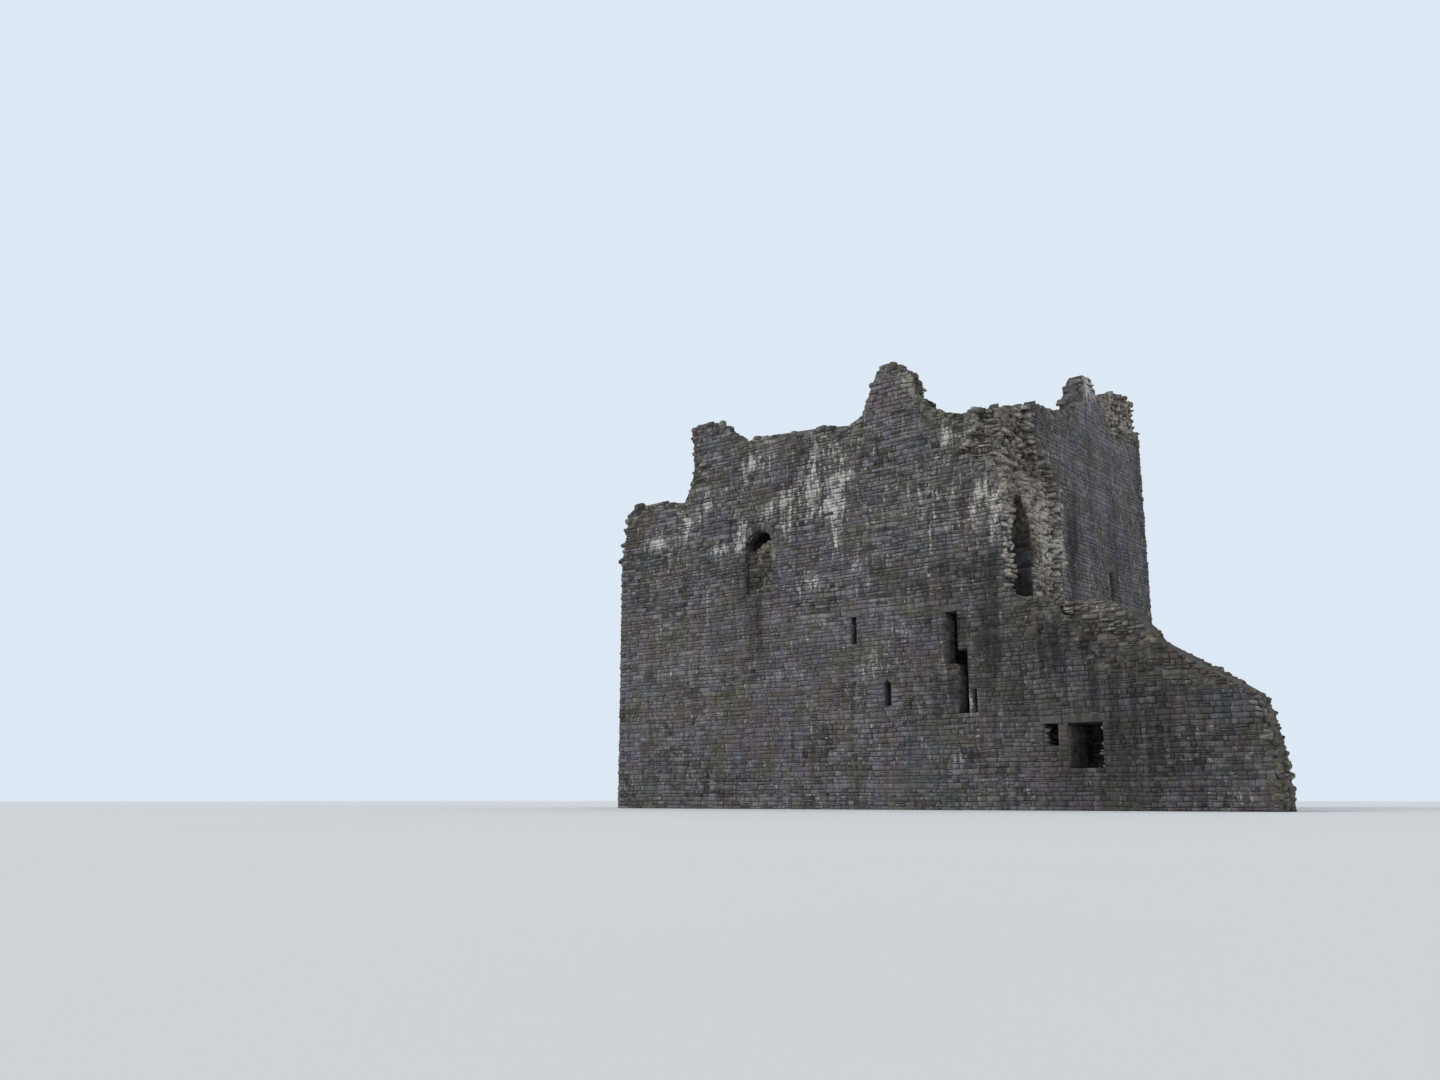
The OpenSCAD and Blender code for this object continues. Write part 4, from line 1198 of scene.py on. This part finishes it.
rain = top_rocks()
ledge = [r for r in rain if abs(r[0].z - FLOOR_Z) < ON_FLOOR and r[2] not in BROKEN]
keep_top = [r for r in rain if r[0].z > FLOOR_Z + ON_FLOOR]
fore_top = [r for r in rain if r[0].z < FLOOR_Z - ON_FLOOR]
for piece, found, on_ledge, material in (("keep_top_stones", keep_top, False, "top_stone"),
                                         ("ledge_stones", ledge, True, "top_stone"),
                                         ("fore_top_stones", fore_top, False, "earthy_stone")):
    build_rocks(piece, loose_rocks(found, on_ledge), LEDGE_WORN if on_ledge else BROKEN_WORN,
                "none", material, draws(SEED + 9))


# Arch stones, as wedges round each window's head

# For each arch: its number of stones, the way it looks along Y, and the wall whose marks it has
ARCHES = {
    "front_window_arch": (ORDER_STONES, -1, "front"),
    "front_window_rear_arch": (REAR_ARCH_STONES, 1, "front"),
    "rear_window_arch": (ORDER_STONES, 1, "rear"),
    "rear_window_rear_arch": (REAR_ARCH_STONES, -1, "rear"),
}
WEDGE_PROUD = (0.015, 0.04)
WEDGE_EDGE = 0.02
WEDGE_ROUGH = 0.003
WEDGE_TILT = 0.004
BACK_CLEAR = 0.01


def arch_points(node, count, toward, rng):
    """Points of an arch's wedges, blocks that are bent round its middle."""
    low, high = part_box(node)
    middle_r = (high[0] - low[0] - ARCH_RING) / 2
    turn = math.pi / count
    ones = np.ones(count)
    across, up, out = block_points(
        turn * middle_r * ones, ARCH_RING * ones, rng.uniform(*WEDGE_PROUD, count),
        (high[1] - low[1] - BACK_CLEAR) * ones, WEDGE_EDGE * ones, WEDGE_ROUGH * ones,
        WEDGE_TILT * ones, rng)
    angle = (np.arange(count) + 0.5)[:, None] * turn + toward * across / middle_r
    x = (low[0] + high[0]) / 2 + (middle_r + up) * np.cos(angle)
    y = (high[1] if toward > 0 else low[1]) + toward * out
    z = low[2] + (middle_r + up) * np.sin(angle)
    return np.stack([x, y, z], axis=-1)


for number, (node, (count, toward, marks)) in enumerate(ARCHES.items()):
    rng = draws(SEED + 10, number)
    points = arch_points(node, count, toward, rng)
    tones = rng.uniform(0.2, 0.9, (count, 2))
    wedges = build(node + "_stones", points, BLOCK, tones, marks, "dressed_stone")
    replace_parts(wedges, node)


# Lintels, with worn edges, as proud as the stones beside them

# The way that a lintel looks along X and Y, and the wall whose marks it has
LINTELS = {
    "front_lintels": ((0, -1), "front"), "fore_low_lintels": ((0, -1), "front"),
    "rear_lintels": ((0, 1), "rear"), "end_loop_lintel": ((1, 0), "end"),
    "west_loop_lintel": ((-1, 0), "west"), "inner_door_lintel": ((0, 0), "none"),
}
LINTEL_PROUD = 0.028
LINTEL_EDGE = 0.016
LINTEL_TONES = (0.3, 0.8)
SAME_FACE = 0.02


def islands(mesh):
    """A number for each point of a mesh, the same all over one stone."""
    numbers = {}
    for start in mesh.verts:
        stack, number = [start], len(numbers)
        while stack:
            vert = stack.pop()
            if vert.index not in numbers:
                numbers[vert.index] = number
                stack += [edge.other_vert(vert) for edge in vert.link_edges]
    return np.array([numbers[i] for i in range(len(mesh.verts))])


def lintel_stones(node, out, marks, rng):
    made = bmesh.new()
    made.from_mesh(nodes[node].data)
    bmesh.ops.remove_doubles(made, verts=made.verts, dist=TOUCH)
    bmesh.ops.dissolve_limit(made, angle_limit=SAME_FACE, verts=made.verts, edges=made.edges)
    middle = np.mean([vert.co[:2] for vert in made.verts], axis=0)
    for vert in made.verts:
        if (np.array(vert.co[:2]) - middle) @ np.array(out) > 0:
            vert.co.x += out[0] * LINTEL_PROUD
            vert.co.y += out[1] * LINTEL_PROUD
    bmesh.ops.bevel(made, geom=made.edges, offset=LINTEL_EDGE, segments=2, profile=0.5, affect="EDGES")
    made.verts.index_update()
    number = islands(made)
    mesh = bpy.data.meshes.new(node + "_stones")
    made.to_mesh(mesh)
    made.free()
    points = np.array([vert.co for vert in mesh.vertices])
    values = marks_at(marks, points)
    values["tone"], values["hue"] = rng.uniform(*LINTEL_TONES, (len(points), 2))[number].T
    return show(node + "_stones", mesh, values, "dressed_stone")


for number, (node, (out, marks)) in enumerate(LINTELS.items()):
    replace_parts(lintel_stones(node, out, marks, draws(SEED + 12, number)), node)


# Floor, light and camera

FLOOR_SIZE = 600
FLOOR_LOW = -0.001
FLOOR_DARK = (0.66, 0.67, 0.68, 1)
FLOOR_LIGHT = (0.7, 0.71, 0.72, 1)

SUN_FROM = (-0.45, -0.75, 0.75)
SUN_STRENGTH = 1.15
SUN_WIDE_DEG = 30
SUN_COLOUR = (1.0, 0.99, 0.97)
SKY_COLOUR = (0.9, 0.95, 1.0, 1)
SKY_STRENGTH = 0.74
BACKDROP = (0.72, 0.81, 0.9, 1)


def make_floor():
    bpy.ops.mesh.primitive_plane_add(size=FLOOR_SIZE, location=(0, 0, FLOOR_LOW))
    floor = bpy.context.object
    floor.name = "floor"
    s = Shader("floor_paint")
    colour = s.mix(s.noise(0.2, 2.0), FLOOR_DARK, FLOOR_LIGHT)
    floor.data.materials.append(s.finish(colour, s.noise(3.0, 2.0), 0.001))


def make_sun():
    data = bpy.data.lights.new("key", "SUN")
    data.energy = SUN_STRENGTH
    data.angle = math.radians(SUN_WIDE_DEG)
    data.color = SUN_COLOUR
    key = bpy.data.objects.new("key", data)
    key.rotation_euler = Vector(SUN_FROM).to_track_quat("Z", "Y").to_euler()
    bpy.context.scene.collection.objects.link(key)


def make_world():
    """Soft light from all round; the camera and mirrors see a plain backdrop in its place."""
    world = bpy.data.worlds.new("pale_room")
    bpy.context.scene.world = world
    world.use_nodes = True
    tree = world.node_tree
    tree.nodes.clear()
    rays = add_node(tree, "LightPath", {}).outputs
    seen = rays["Is Camera Ray"]
    for ray in ("Is Glossy Ray", "Is Transmission Ray"):
        seen = add_node(tree, "Math", {0: seen, 1: rays[ray]}, operation="MAXIMUM").outputs[0]
    sky = add_node(tree, "Background", {"Color": SKY_COLOUR, "Strength": SKY_STRENGTH})
    backdrop = add_node(tree, "Background", {"Color": BACKDROP, "Strength": 1.0})
    mix = add_node(tree, "MixShader", {0: seen, 1: sky.outputs[0], 2: backdrop.outputs[0]})
    add_node(tree, "OutputWorld", {"Surface": mix.outputs[0]})


def make_camera():
    data = bpy.data.cameras.new("camera")
    data.lens = LENS_MM
    camera = bpy.data.objects.new("camera", data)
    camera.location = (EAST_X + CAMERA_FROM_CORNER[0], FRONT_Y + CAMERA_FROM_CORNER[1], EYE_Z)
    camera.rotation_euler = (math.radians(90 + PITCH_DEG), 0, math.radians(HEADING_DEG))
    bpy.context.scene.collection.objects.link(camera)
    bpy.context.scene.camera = camera


make_floor()
make_sun()
make_world()
make_camera()
bpy.context.scene.view_settings.view_transform = "Standard"
